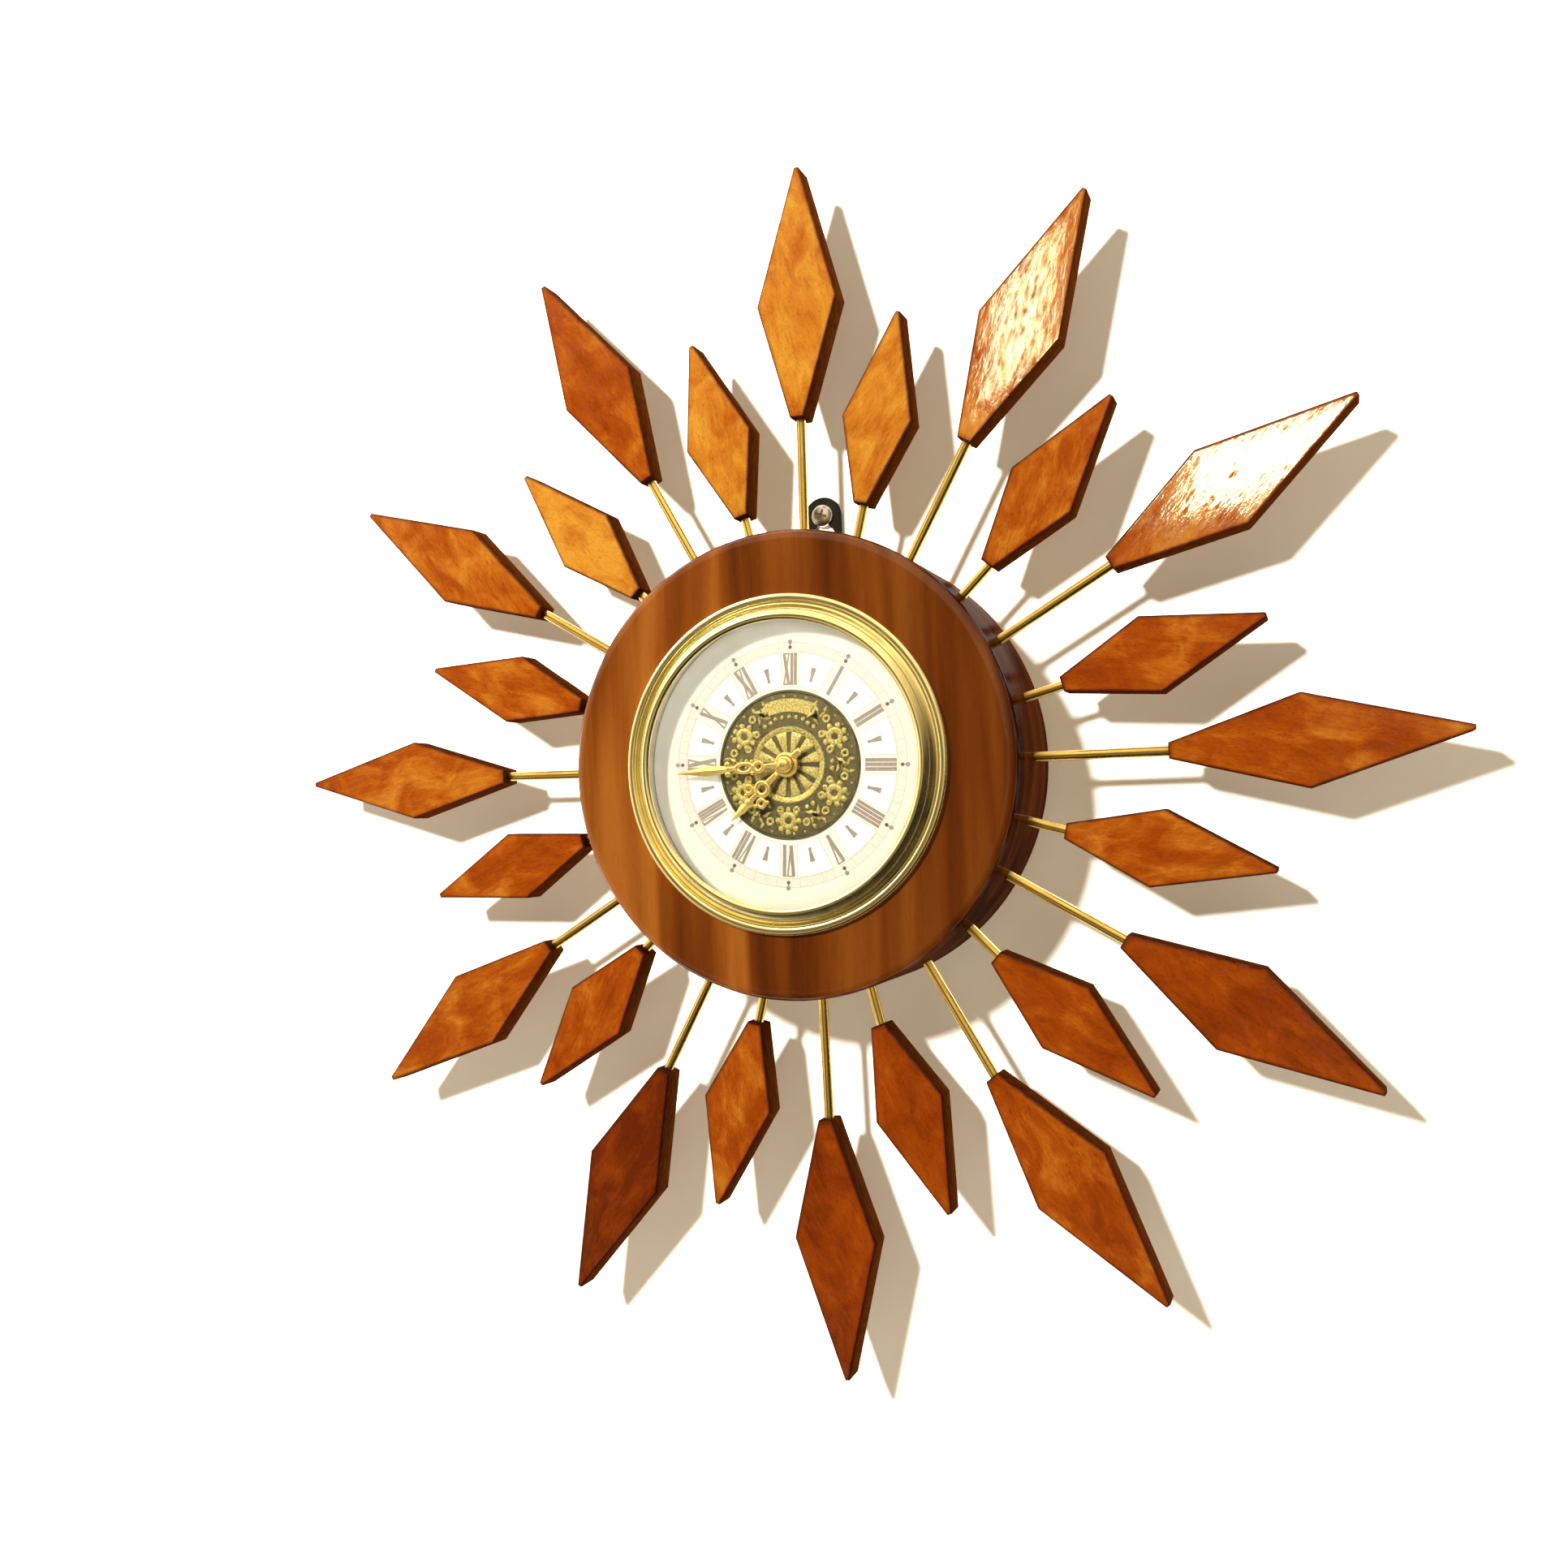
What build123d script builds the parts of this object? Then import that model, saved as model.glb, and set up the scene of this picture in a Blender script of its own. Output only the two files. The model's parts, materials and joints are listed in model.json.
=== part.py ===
from build123d import *
import math
import os

# A sunburst wall clock: a turned wooden drum with a brass-framed dial, twenty-four wooden
# diamonds on brass rods, and a battery movement with its whole gear train.
#
# All lengths are millimetres. The clock is laid out face up on a bench: x runs to the right
# of the dial, y up the dial and z out of the wall, so z = 0 is the wall. stand_up() turns
# each piece to its hanging position, with +Z up and the face towards -Y.

# ---- drum ----
DRUM_RADIUS = 76.2
DRUM_DEPTH = 49.0
DRUM_FRONT_ROUND = 3.5
DRUM_BACK_ROUND = 1.0
FRONT_BORE_RADIUS = 50.3
REAR_BORE_RADIUS = 58.0
LEDGE_BACK = 34.0

# ---- rays ----
RAYS_OF_A_KIND = 12
ROD_HEIGHT = 23.0
ROD_RADIUS = 1.6
ROD_HOLE_RADIUS = 1.65
ROD_START_RADIUS = 64.0
DIAMOND_THICKNESS = 9.5
DIAMOND_INNER_FLAT = 5.0
DIAMOND_TIP_FLAT = 1.6
DIAMOND_FRONT_ROUND = 0.8
DIAMOND_BACK_ROUND = 0.4
# The rays were drilled and fitted by hand. For each ray of a kind, clockwise from twelve o'clock,
# drift is how far its rod stands clockwise of its even place, and lean is how far its diamond
# leans clockwise on the rod, both in degrees.
LONG_RAY = {
    "first": 0.0,
    "inner": 118.0,
    "widest": 157.5,
    "tip": 203.2,
    "width": 29.0,
    "socket": 14.0,
    "drift": (0.5, -0.5, 0.5, 0.5, 0.0, 0.0, -1.0, -1.0, -0.5, 1.0, 1.0, 1.5),
    "lean": (1.5, 0.0, -0.5, -2.0, 1.5, -7.5, -2.0, -4.0, -5.0, -0.5, 0.0, 1.0),
}
SHORT_RAY = {
    "first": 15.0,
    "inner": 89.0,
    "widest": 117.5,
    "tip": 153.0,
    "width": 25.0,
    "socket": 12.0,
    "drift": (-0.5, 1.0, 1.0, 1.0, 1.0, 1.0, -0.5, 1.5, 0.5, 2.0, 1.0, 1.5),
    "lean": (-0.5, -5.5, -1.0, -3.5, -4.5, -6.0, 0.0, -5.5, -2.5, -1.5, 1.0, -1.5),
}

# ---- bezel, glass and dial ----
BEZEL_RADIUS = 55.0
BEZEL_TOP = 53.8
BEZEL_BEAD_RADIUS = 53.5
BEZEL_BEAD_TOP = 51.5
BEZEL_GROOVE_RADIUS = 51.9
BEZEL_GROOVE_FLOOR = 50.4
BEZEL_CREST_RADIUS = 47.9
BEZEL_GLASS_POCKET_RADIUS = 49.8
BEZEL_FLANGE_POCKET_RADIUS = 53.4
BEZEL_PLAY = 0.05
GLASS_PLAY = 0.2
GLASS_OPENING_RADIUS = 46.2
GLASS_RADIUS = 49.6
GLASS_THICKNESS = 2.0
PAN_RADIUS = 50.0
PAN_FLANGE_RADIUS = 53.3
PAN_SHEET = 0.8
PAN_FLANGE_SHEET = 0.5
PAN_FLOOR_BACK = 40.6
PAN_RIM_TOP = 50.1
DIAL_RADIUS = 48.9
DIAL_THICKNESS = 1.0
DIAL_CENTRE_RADIUS = 24.4
DIAL_CENTRE_THICKNESS = 0.8

# ---- hands ----
HOUR_HAND_ANGLE = 228.5
MINUTE_HAND_ANGLE = 268.0
HOUR_HAND_BACK = 45.3
HOUR_HAND_FRONT = 46.2
MINUTE_HAND_BACK = 46.9
MINUTE_HAND_FRONT = 47.6
HOUR_HAND_LENGTH = 26.7
HOUR_HAND_TAIL = 7.0
HOUR_HAND_TAIL_RADIUS = 1.2
HOUR_HAND_NECK = (2.2, 3.8, 8.8)
# each ring of a pierced hand is (outer radius, inner radius, x, y)
HOUR_HAND_RINGS = ((3.0, 1.1, 0.0, 11.4), (1.9, 0.7, 3.2, 14.8), (1.9, 0.7, -3.2, 14.8))
HOUR_HAND_BRIDGE = (1.8, 14.1, 17.1)
HOUR_HAND_KNOB = (1.7, 18.0)
HOUR_HAND_SPEAR = (18.5, 20.6, 0.9, 1.5)
MINUTE_HAND_LENGTH = 38.5
MINUTE_HAND_HUB_RADIUS = 2.9
MINUTE_HAND_NECK = (2.0, 2.3, 7.1)
MINUTE_HAND_RING = (2.2, 0.7, 0.0, 8.9)
MINUTE_HAND_LOOP = (2.1, 3.9, 0.8, 2.5)
MINUTE_HAND_LOOP_Y = 14.0
MINUTE_HAND_BRIDGE = (1.7, 17.3, 20.5)
MINUTE_HAND_KNOB_RADIUS = 1.1
MINUTE_HAND_KNOBS = ((1.6, 19.9), (-1.6, 19.9))
MINUTE_HAND_SPEAR = (19.8, 27.0, 1.1, 1.8)
HAND_NUT_RADIUS = 2.1
HAND_NUT_TOP = 49.2
HAND_NUT_ROUND = 1.0
HAND_NUT_CAP = 0.4

# ---- hanger ----
HANGER_WIDTH = 14.0
HANGER_THICKNESS = 1.5
HANGER_BOTTOM = 60.0
HANGER_PLAY = 0.1
KEYHOLE_ENTRY_Y = 81.5
KEYHOLE_ENTRY_RADIUS = 4.5
KEYHOLE_SLOT_Y = 89.0
KEYHOLE_SLOT_WIDTH = 4.5
HANGER_SCREW_Y = (63.5, 71.5)

# ---- movement housing ----
CASE_SIDE = 56.0
CASE_CORNER = 3.0
CASE_WALL = 1.2
CASE_BACK = 23.6
CASE_FRONT = 39.6
COVER_THICKNESS = 1.4
CHAMBER_TOP = -11.7
DIVIDER_TOP = -10.7
BUSH_RADIUS = 3.0
BUSH_TOP = 45.0
WASHER_RADIUS = 14.0
MOUNTING_NUT_RADIUS = 4.2
MOUNTING_NUT_THICKNESS = 1.6
NUT_SLOT_HALF = 0.6
NUT_SLOT_DEPTH = 0.8
PIVOT_CLEARANCE = 0.05
PIVOT_DEPTH = 0.7

# ---- gear train ----
PRESSURE_ANGLE = math.radians(25)
ADDENDUM = 0.7
DEDENDUM = 0.95
BACKLASH = 0.05
FLANK_STEPS = 2
PINION_OVERHANG = 0.15
# each layer is a start and an end, measured back from the inside of the case's front wall
HOUR_LAYER = (0.5, 1.7)
MOTION_LAYER = (2.3, 3.3)
PLATE_LAYER = (4.2, 5.2)
CENTRE_LAYER = (5.7, 6.7)
MAGNET_LAYER = (6.6, 9.0)
THIRD_LAYER = (7.3, 8.1)
STATOR_LAYER = (7.4, 8.2)
CORE_LAYER = (8.2, 9.0)
SECONDS_LAYER = (8.8, 9.6)
BOARD_LAYER = (9.8, 10.8)
STEP_LAYER = (10.3, 11.1)
# (teeth, module) of each gear
CANNON = (12, 0.35)
MOTION_WHEEL = (36, 0.35)
MOTION_PINION = (10, 0.336)
HOUR_WHEEL = (40, 0.336)
SETTING_PINION = (18, 0.35)
CENTRE_WHEEL = (60, 0.28)
THIRD_PINION = (8, 0.28)
THIRD_WHEEL = (64, 0.25)
SECONDS_PINION = (8, 0.25)
SECONDS_WHEEL = (50, 0.25)
STEP_PINION = (10, 0.25)
STEP_WHEEL = (48, 0.22)
ROTOR_PINION = (8, 0.22)
# direction, in degrees from +x, from one axis of the train to the next
MOTION_BEARING = 20.0
SETTING_BEARING = 350.0
THIRD_BEARING = 35.0
SECONDS_BEARING = 100.0
STEP_BEARING = 165.0
ROTOR_BEARING = 200.0
MINUTE_SHAFT_RADIUS = 1.05
CANNON_TUBE_RADIUS = 1.6
HOUR_PIPE_RADIUS = 1.97
RUNNING_CLEARANCE = 0.08
ARBOR_RADIUS = 0.5
ROTOR_RADIUS = 2.6
STATOR_HOLE_RADIUS = 3.1
SETTING_SHAFT_RADIUS = 1.5
KNOB_RADIUS = 4.5
KNOB_BACK = 20.5
KNOB_FRONT = 23.3
KNOB_GRIPS = 18
KNOB_GRIP_RADIUS = 0.45
COIL_X = -21.2
CORE_HALF_WIDTH = 2.5
CORE_ENDS = (-9.6, 25.6)
COIL_ENDS = (-5.5, 20.5)
COIL_FLANGE = 0.8
BOBBIN_TUBE_RADIUS = 3.0
WINDING_RADIUS = 3.9
BOBBIN_FLANGE_RADIUS = 4.3
STATOR_LEFT = -24.5
STATOR_STRIP_X = (-11.3, -2.3)
STATOR_STRIP_Y = (-10.0, 26.0)
STATOR_TOP_ARM_Y = (21.5, 26.0)
STATOR_BOTTOM_ARM_Y = (-10.0, -6.5)
PLATE_X = (-13.0, 26.5)
PLATE_Y = (-9.6, 26.5)
PILLAR_RADIUS = 1.2
POST_RADIUS = 1.5
BOARD_X = (13.5, 26.0)
BOARD_Y = (8.0, 26.0)
CHIP_CENTRE = (18.4, 19.0)
CHIP_RADIUS = 2.6
CHIP_HEIGHT = 1.0
CHIP_ROUND = 0.7
CRYSTAL_X = 23.4
CRYSTAL_ENDS = (11.5, 17.5)
CRYSTAL_RADIUS = 1.0

# ---- battery ----
BATTERY_RADIUS = 7.25
BATTERY_Y = -19.25
BATTERY_ENDS = (-24.9, 24.6)
BATTERY_NUB_RADIUS = 2.75
BATTERY_NUB_LENGTH = 1.0
BATTERY_EDGE_ROUND = 0.6
BATTERY_PLAY = 0.2
CONTACT_STRIP = 0.4
CONTACT_HALF_WIDTH = 4.0
# how far from the middle the bent tip of each contact stands
PLUS_CONTACT_REACH = 25.75
MINUS_CONTACT_REACH = 25.05
CONTACT_MARGIN_BACK = 3.0
CONTACT_MARGIN_FRONT = 2.0

# ---- clips and screws ----
CLIP_HALF_WIDTH = 4.0
CLIP_SHEET = 0.8
CLIP_LEG_RADIUS = 42.0
CLIP_FOOT_RADIUS = 57.0
CLIP_ANGLES = (60, 180, 300)
CLIP_SCREW_RADIUS = 54.2
# each screw is (shank radius, head radius, length)
CLIP_SCREW = (1.3, 2.5, 9.0)
HANGER_SCREW = (1.5, 2.9, 13.0)
SCREW_SLOT_HALF = 0.3
SCREW_SLOT_DEPTH = 0.8

CASE_FRONT_INSIDE = CASE_FRONT - CASE_WALL
COVER_FRONT = CASE_BACK + COVER_THICKNESS
PAN_FLOOR_FRONT = PAN_FLOOR_BACK + PAN_SHEET
DIAL_FRONT = PAN_FLOOR_FRONT + DIAL_THICKNESS
MEDALLION_FRONT = DIAL_FRONT + DIAL_CENTRE_THICKNESS


# ---- shared shapes ----
def disc(radius, low, high, x=0.0, y=0.0):
    """A round bar along z, from low to high."""
    align = (Align.CENTER, Align.CENTER, Align.MIN)
    return Pos(x, y, low) * Cylinder(radius, high - low, align=align)


def ring(outer, inner, low, high, x=0.0, y=0.0):
    """A tube along z."""
    return disc(outer, low, high, x, y) - disc(inner, low, high, x, y)


def block(x_range, y_range, z_range):
    """A box between two values on each axis."""
    ranges = (x_range, y_range, z_range)
    sides = [high - low for low, high in ranges]
    middle = [(high + low) / 2 for low, high in ranges]
    return Pos(*middle) * Box(*sides)


def slab(points, low, high):
    """A flat plate of a straight-sided outline, from low to high."""
    return Pos(0, 0, low) * extrude(make_face(Polyline(*points, close=True)), high - low)


def radial_bar(radius, start, end, height):
    """A round bar along y, from start to end, at a height off the wall."""
    middle = Pos(0, (start + end) / 2, height)
    return middle * Rot(90, 0, 0) * Cylinder(radius, end - start)


def turned(profile):
    """A turned part, from its closed profile of (radius, z) in the xz plane."""
    return revolve(make_face(profile), Axis.Z)


def at_angle(angle, shape):
    """Swings a shape that points to twelve o'clock clockwise by an angle."""
    return Rot(0, 0, -angle) * shape


def behind_front(layer):
    """The z range of a layer that is measured back from the case's front wall."""
    return CASE_FRONT_INSIDE - layer[1], CASE_FRONT_INSIDE - layer[0]


def stand_up(shape):
    """Turns a piece from the bench to the wall."""
    return Rot(90, 0, 0) * shape


# ---- gears ----
def involute(angle):
    return math.tan(angle) - angle


def gear(size, layer, centre, turn, overhang=0.0):
    """A spur gear with stub involute teeth; the middle of one tooth points at turn degrees."""
    teeth, module = size
    pitch_radius = teeth * module / 2
    base_radius = pitch_radius * math.cos(PRESSURE_ANGLE)
    root_radius = pitch_radius - DEDENDUM * module
    tip_radius = pitch_radius + ADDENDUM * module
    half_at_pitch = (math.pi * module / 2 - BACKLASH) / 2 / pitch_radius

    def half_tooth(radius):
        spread = math.acos(min(1.0, base_radius / radius))
        return half_at_pitch + involute(PRESSURE_ANGLE) - involute(spread)

    start = max(root_radius, base_radius)
    radii = [start + (tip_radius - start) * k / FLANK_STEPS for k in range(FLANK_STEPS + 1)]
    flank = [(radius, half_tooth(radius)) for radius in radii]
    if root_radius < base_radius:
        flank.insert(0, (root_radius, half_tooth(base_radius)))
    points = []
    for tooth in range(teeth):
        middle = math.radians(turn) + 2 * math.pi * tooth / teeth
        rising = [(radius, middle - half) for radius, half in flank]
        falling = [(radius, middle + half) for radius, half in reversed(flank)]
        for radius, angle in rising + falling:
            points.append((radius * math.cos(angle), radius * math.sin(angle)))
    low, high = behind_front(layer)
    plate = slab(points, low - overhang, high + overhang)
    return Pos(centre[0], centre[1], 0) * plate


def next_axis(centre, driver, driven, bearing):
    """Where the axis of a gear lies that meshes with another, in the direction of bearing."""
    distance = (driver[0] * driver[1] + driven[0] * driven[1]) / 2
    direction = math.radians(bearing)
    return (
        centre[0] + distance * math.cos(direction),
        centre[1] + distance * math.sin(direction),
    )


def meshing_turn(driver, driver_turn, driven, bearing):
    """The turn that sets a gap of the driven gear against a tooth of its driver."""
    phase = (bearing - driver_turn) * driver[0] / 360
    return bearing + 180 - (0.5 - phase) * 360 / driven[0]


CENTRE_AXIS = (0.0, 0.0)
MOTION_AXIS = next_axis(CENTRE_AXIS, CANNON, MOTION_WHEEL, MOTION_BEARING)
SETTING_AXIS = next_axis(MOTION_AXIS, MOTION_WHEEL, SETTING_PINION, SETTING_BEARING)
THIRD_AXIS = next_axis(CENTRE_AXIS, CENTRE_WHEEL, THIRD_PINION, THIRD_BEARING)
SECONDS_AXIS = next_axis(THIRD_AXIS, THIRD_WHEEL, SECONDS_PINION, SECONDS_BEARING)
STEP_AXIS = next_axis(SECONDS_AXIS, SECONDS_WHEEL, STEP_PINION, STEP_BEARING)
ROTOR_AXIS = next_axis(STEP_AXIS, STEP_WHEEL, ROTOR_PINION, ROTOR_BEARING)

MOTION_TURN = meshing_turn(CANNON, 0.0, MOTION_WHEEL, MOTION_BEARING)
SETTING_TURN = meshing_turn(MOTION_WHEEL, MOTION_TURN, SETTING_PINION, SETTING_BEARING)
HOUR_TURN = meshing_turn(MOTION_PINION, MOTION_TURN, HOUR_WHEEL, MOTION_BEARING + 180)
THIRD_TURN = meshing_turn(CENTRE_WHEEL, 0.0, THIRD_PINION, THIRD_BEARING)
SECONDS_TURN = meshing_turn(THIRD_WHEEL, THIRD_TURN, SECONDS_PINION, SECONDS_BEARING)
STEP_TURN = meshing_turn(SECONDS_WHEEL, SECONDS_TURN, STEP_PINION, STEP_BEARING)
ROTOR_TURN = meshing_turn(STEP_WHEEL, STEP_TURN, ROTOR_PINION, ROTOR_BEARING)

ARBOR_BACK = COVER_FRONT - PIVOT_DEPTH
PLATE_BACK, PLATE_FRONT = behind_front(PLATE_LAYER)


def arbor(centre, radius=ARBOR_RADIUS):
    """A spindle from the train plate to its pivot in the cover."""
    return disc(radius, ARBOR_BACK, PLATE_FRONT - PIVOT_DEPTH / 2, *centre)


def centre_wheel():
    wheel = gear(CENTRE_WHEEL, CENTRE_LAYER, CENTRE_AXIS, 0.0)
    cannon = gear(CANNON, MOTION_LAYER, CENTRE_AXIS, 0.0, PINION_OVERHANG)
    tube = disc(CANNON_TUBE_RADIUS, behind_front(CENTRE_LAYER)[1], behind_front(MOTION_LAYER)[0])
    shaft = disc(MINUTE_SHAFT_RADIUS, ARBOR_BACK, HAND_NUT_TOP - HAND_NUT_CAP)
    return wheel + cannon + tube + shaft


def hour_wheel():
    wheel = gear(HOUR_WHEEL, HOUR_LAYER, CENTRE_AXIS, HOUR_TURN)
    pipe = disc(HOUR_PIPE_RADIUS, behind_front(HOUR_LAYER)[0], HOUR_HAND_FRONT)
    bore_radius = MINUTE_SHAFT_RADIUS + RUNNING_CLEARANCE
    bore = disc(bore_radius, behind_front(HOUR_LAYER)[0] - 1, HOUR_HAND_FRONT + 1)
    return wheel + pipe - bore


def motion_wheel():
    wheel = gear(MOTION_WHEEL, MOTION_LAYER, MOTION_AXIS, MOTION_TURN)
    pinion_layer = (HOUR_LAYER[0] - PINION_OVERHANG, MOTION_LAYER[0])
    pinion = gear(MOTION_PINION, pinion_layer, MOTION_AXIS, MOTION_TURN)
    spindle = disc(
        ARBOR_RADIUS, PLATE_FRONT - PIVOT_DEPTH, CASE_FRONT_INSIDE + PIVOT_DEPTH, *MOTION_AXIS
    )
    return wheel + pinion + spindle


def train_wheel(wheel, wheel_layer, pinion, pinion_layer, centre, turn):
    """A wheel and the pinion that drives it, on one arbor."""
    body = gear(wheel, wheel_layer, centre, turn)
    leaves = gear(pinion, pinion_layer, centre, turn, PINION_OVERHANG)
    return body + leaves + arbor(centre)


def rotor():
    """The stepping motor's magnet and its pinion."""
    magnet_back, magnet_front = behind_front(MAGNET_LAYER)
    pinion = gear(ROTOR_PINION, STEP_LAYER, ROTOR_AXIS, ROTOR_TURN, PINION_OVERHANG)
    magnet = disc(ROTOR_RADIUS, magnet_back, magnet_front, *ROTOR_AXIS)
    return pinion + magnet + arbor(ROTOR_AXIS)


def setting_knob():
    """The thumb wheel on the back that turns the hands, with its long stem and pinion."""
    pinion = gear(SETTING_PINION, MOTION_LAYER, SETTING_AXIS, SETTING_TURN, PINION_OVERHANG)
    stem = disc(SETTING_SHAFT_RADIUS, KNOB_BACK, behind_front(MOTION_LAYER)[0], *SETTING_AXIS)
    pivot = disc(
        ARBOR_RADIUS, behind_front(MOTION_LAYER)[1], CASE_FRONT_INSIDE + PIVOT_DEPTH, *SETTING_AXIS
    )
    knob = disc(KNOB_RADIUS, KNOB_BACK, KNOB_FRONT)
    for k in range(KNOB_GRIPS):
        angle = 2 * math.pi * k / KNOB_GRIPS
        groove = (KNOB_RADIUS * math.cos(angle), KNOB_RADIUS * math.sin(angle))
        knob -= disc(KNOB_GRIP_RADIUS, KNOB_BACK - 1, KNOB_FRONT + 1, *groove)
    return pinion + stem + pivot + Pos(SETTING_AXIS[0], SETTING_AXIS[1], 0) * knob


# ---- movement housing ----
TRAIN_AXES = (THIRD_AXIS, SECONDS_AXIS, STEP_AXIS, ROTOR_AXIS)
PLATE_POSTS = ((-11.3, -7.5), (-11.3, 24.3), (24.3, 24.3), (24.3, -7.5))
STATOR_POSTS = ((-15.0, 23.8), (-15.0, -8.3))
BOARD_PILLARS = ((24.3, 24.3), (15.2, 24.3), (24.3, 9.7))
INSIDE = CASE_SIDE / 2 - CASE_WALL


def case_block(low, high):
    """The movement's rounded square outline, from low to high."""
    return Pos(0, 0, low) * extrude(RectangleRounded(CASE_SIDE, CASE_SIDE, CASE_CORNER), high - low)


def cover_plate():
    """The part of the case's outline that lies above the battery chamber."""
    half = CASE_SIDE / 2
    above = block((-half, half), (CHAMBER_TOP, half), (CASE_BACK, COVER_FRONT))
    return case_block(CASE_BACK, COVER_FRONT) & above


def movement_case():
    shell = case_block(CASE_BACK, CASE_FRONT) - cover_plate()
    across = (-INSIDE, INSIDE)
    deep = (CASE_BACK - 1, CASE_FRONT_INSIDE)
    shell -= block(across, (DIVIDER_TOP, INSIDE), deep)
    shell -= block(across, (-INSIDE, CHAMBER_TOP), deep)
    shell += disc(BUSH_RADIUS, CASE_FRONT, BUSH_TOP)
    for x, y in PLATE_POSTS:
        shell += disc(POST_RADIUS, PLATE_FRONT, CASE_FRONT_INSIDE, x, y)
    for x, y in STATOR_POSTS:
        shell += disc(POST_RADIUS, behind_front(STATOR_LAYER)[1], CASE_FRONT_INSIDE, x, y)
    shell -= disc(HOUR_PIPE_RADIUS + RUNNING_CLEARANCE, CASE_FRONT_INSIDE - 1, BUSH_TOP + 1)
    pivot_radius = ARBOR_RADIUS + PIVOT_CLEARANCE
    pivot_end = CASE_FRONT_INSIDE + PIVOT_DEPTH + 2 * PIVOT_CLEARANCE
    for centre in (MOTION_AXIS, SETTING_AXIS):
        shell -= disc(pivot_radius, CASE_FRONT_INSIDE - 1, pivot_end, *centre)
    return shell


def movement_cover():
    cover = cover_plate()
    pivot_end = ARBOR_BACK - 2 * PIVOT_CLEARANCE
    cover -= disc(MINUTE_SHAFT_RADIUS + PIVOT_CLEARANCE, pivot_end, COVER_FRONT + 1)
    for centre in TRAIN_AXES:
        cover -= disc(ARBOR_RADIUS + PIVOT_CLEARANCE, pivot_end, COVER_FRONT + 1, *centre)
    stem_hole = SETTING_SHAFT_RADIUS + PIVOT_CLEARANCE
    return cover - disc(stem_hole, CASE_BACK - 1, COVER_FRONT + 1, *SETTING_AXIS)


def train_plate():
    """The middle plate that carries the front pivots and the circuit board's pillars."""
    plate = block(PLATE_X, PLATE_Y, (PLATE_BACK, PLATE_FRONT))
    for x, y in BOARD_PILLARS:
        plate += disc(PILLAR_RADIUS, behind_front(BOARD_LAYER)[1], PLATE_BACK, x, y)
    holes = [(CANNON_TUBE_RADIUS, CENTRE_AXIS), (SETTING_SHAFT_RADIUS, SETTING_AXIS)]
    holes += [(ARBOR_RADIUS, centre) for centre in (*TRAIN_AXES, MOTION_AXIS)]
    for radius, centre in holes:
        plate -= disc(radius + PIVOT_CLEARANCE, PLATE_BACK - 1, PLATE_FRONT + 1, *centre)
    return plate


def stator():
    """The motor's iron plate: a strip round the rotor with two arms to the coil's core."""
    layer = behind_front(STATOR_LAYER)
    arm_x = (STATOR_LEFT, STATOR_STRIP_X[0])
    strip = block(STATOR_STRIP_X, STATOR_STRIP_Y, layer)
    top_arm = block(arm_x, STATOR_TOP_ARM_Y, layer)
    bottom_arm = block(arm_x, STATOR_BOTTOM_ARM_Y, layer)
    hole = disc(STATOR_HOLE_RADIUS, layer[0] - 1, layer[1] + 1, *ROTOR_AXIS)
    return strip + top_arm + bottom_arm - hole


def coil_core():
    across = (COIL_X - CORE_HALF_WIDTH, COIL_X + CORE_HALF_WIDTH)
    return block(across, CORE_ENDS, behind_front(CORE_LAYER))


def on_coil_axis(radius, start, end):
    """A round bar on the coil's axis."""
    middle = sum(behind_front(CORE_LAYER)) / 2
    return Pos(COIL_X, 0, 0) * radial_bar(radius, start, end, middle)


def coil_bobbin():
    low, high = COIL_ENDS
    spool = on_coil_axis(BOBBIN_TUBE_RADIUS, low, high)
    spool += on_coil_axis(BOBBIN_FLANGE_RADIUS, low, low + COIL_FLANGE)
    spool += on_coil_axis(BOBBIN_FLANGE_RADIUS, high - COIL_FLANGE, high)
    return spool - coil_core()


def coil_winding():
    low = COIL_ENDS[0] + COIL_FLANGE
    high = COIL_ENDS[1] - COIL_FLANGE
    return on_coil_axis(WINDING_RADIUS, low, high) - on_coil_axis(BOBBIN_TUBE_RADIUS, low, high)


def circuit_board():
    """The drive board, with the sealed chip as a blob on its back."""
    board_back, board_front = behind_front(BOARD_LAYER)
    board = block(BOARD_X, BOARD_Y, (board_back, board_front))
    chip = disc(CHIP_RADIUS, board_back - CHIP_HEIGHT, board_back, *CHIP_CENTRE)
    chip = fillet(chip.faces().sort_by(Axis.Z)[0].edges(), CHIP_ROUND)
    return board + chip


def crystal_can():
    """The timing crystal's little can, lying on the board."""
    axis_height = behind_front(BOARD_LAYER)[0] - CRYSTAL_RADIUS
    return Pos(CRYSTAL_X, 0, 0) * radial_bar(CRYSTAL_RADIUS, *CRYSTAL_ENDS, axis_height)


def battery():
    low, high = BATTERY_ENDS
    height = CASE_FRONT_INSIDE - BATTERY_RADIUS - BATTERY_PLAY
    can = fillet(Cylinder(BATTERY_RADIUS, high - low).edges(), BATTERY_EDGE_ROUND)
    nub_middle = (high - low + BATTERY_NUB_LENGTH) / 2
    nub = Pos(0, 0, nub_middle) * Cylinder(BATTERY_NUB_RADIUS, BATTERY_NUB_LENGTH)
    return Pos((low + high) / 2, BATTERY_Y, height) * Rot(0, 90, 0) * (can + nub)


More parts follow.
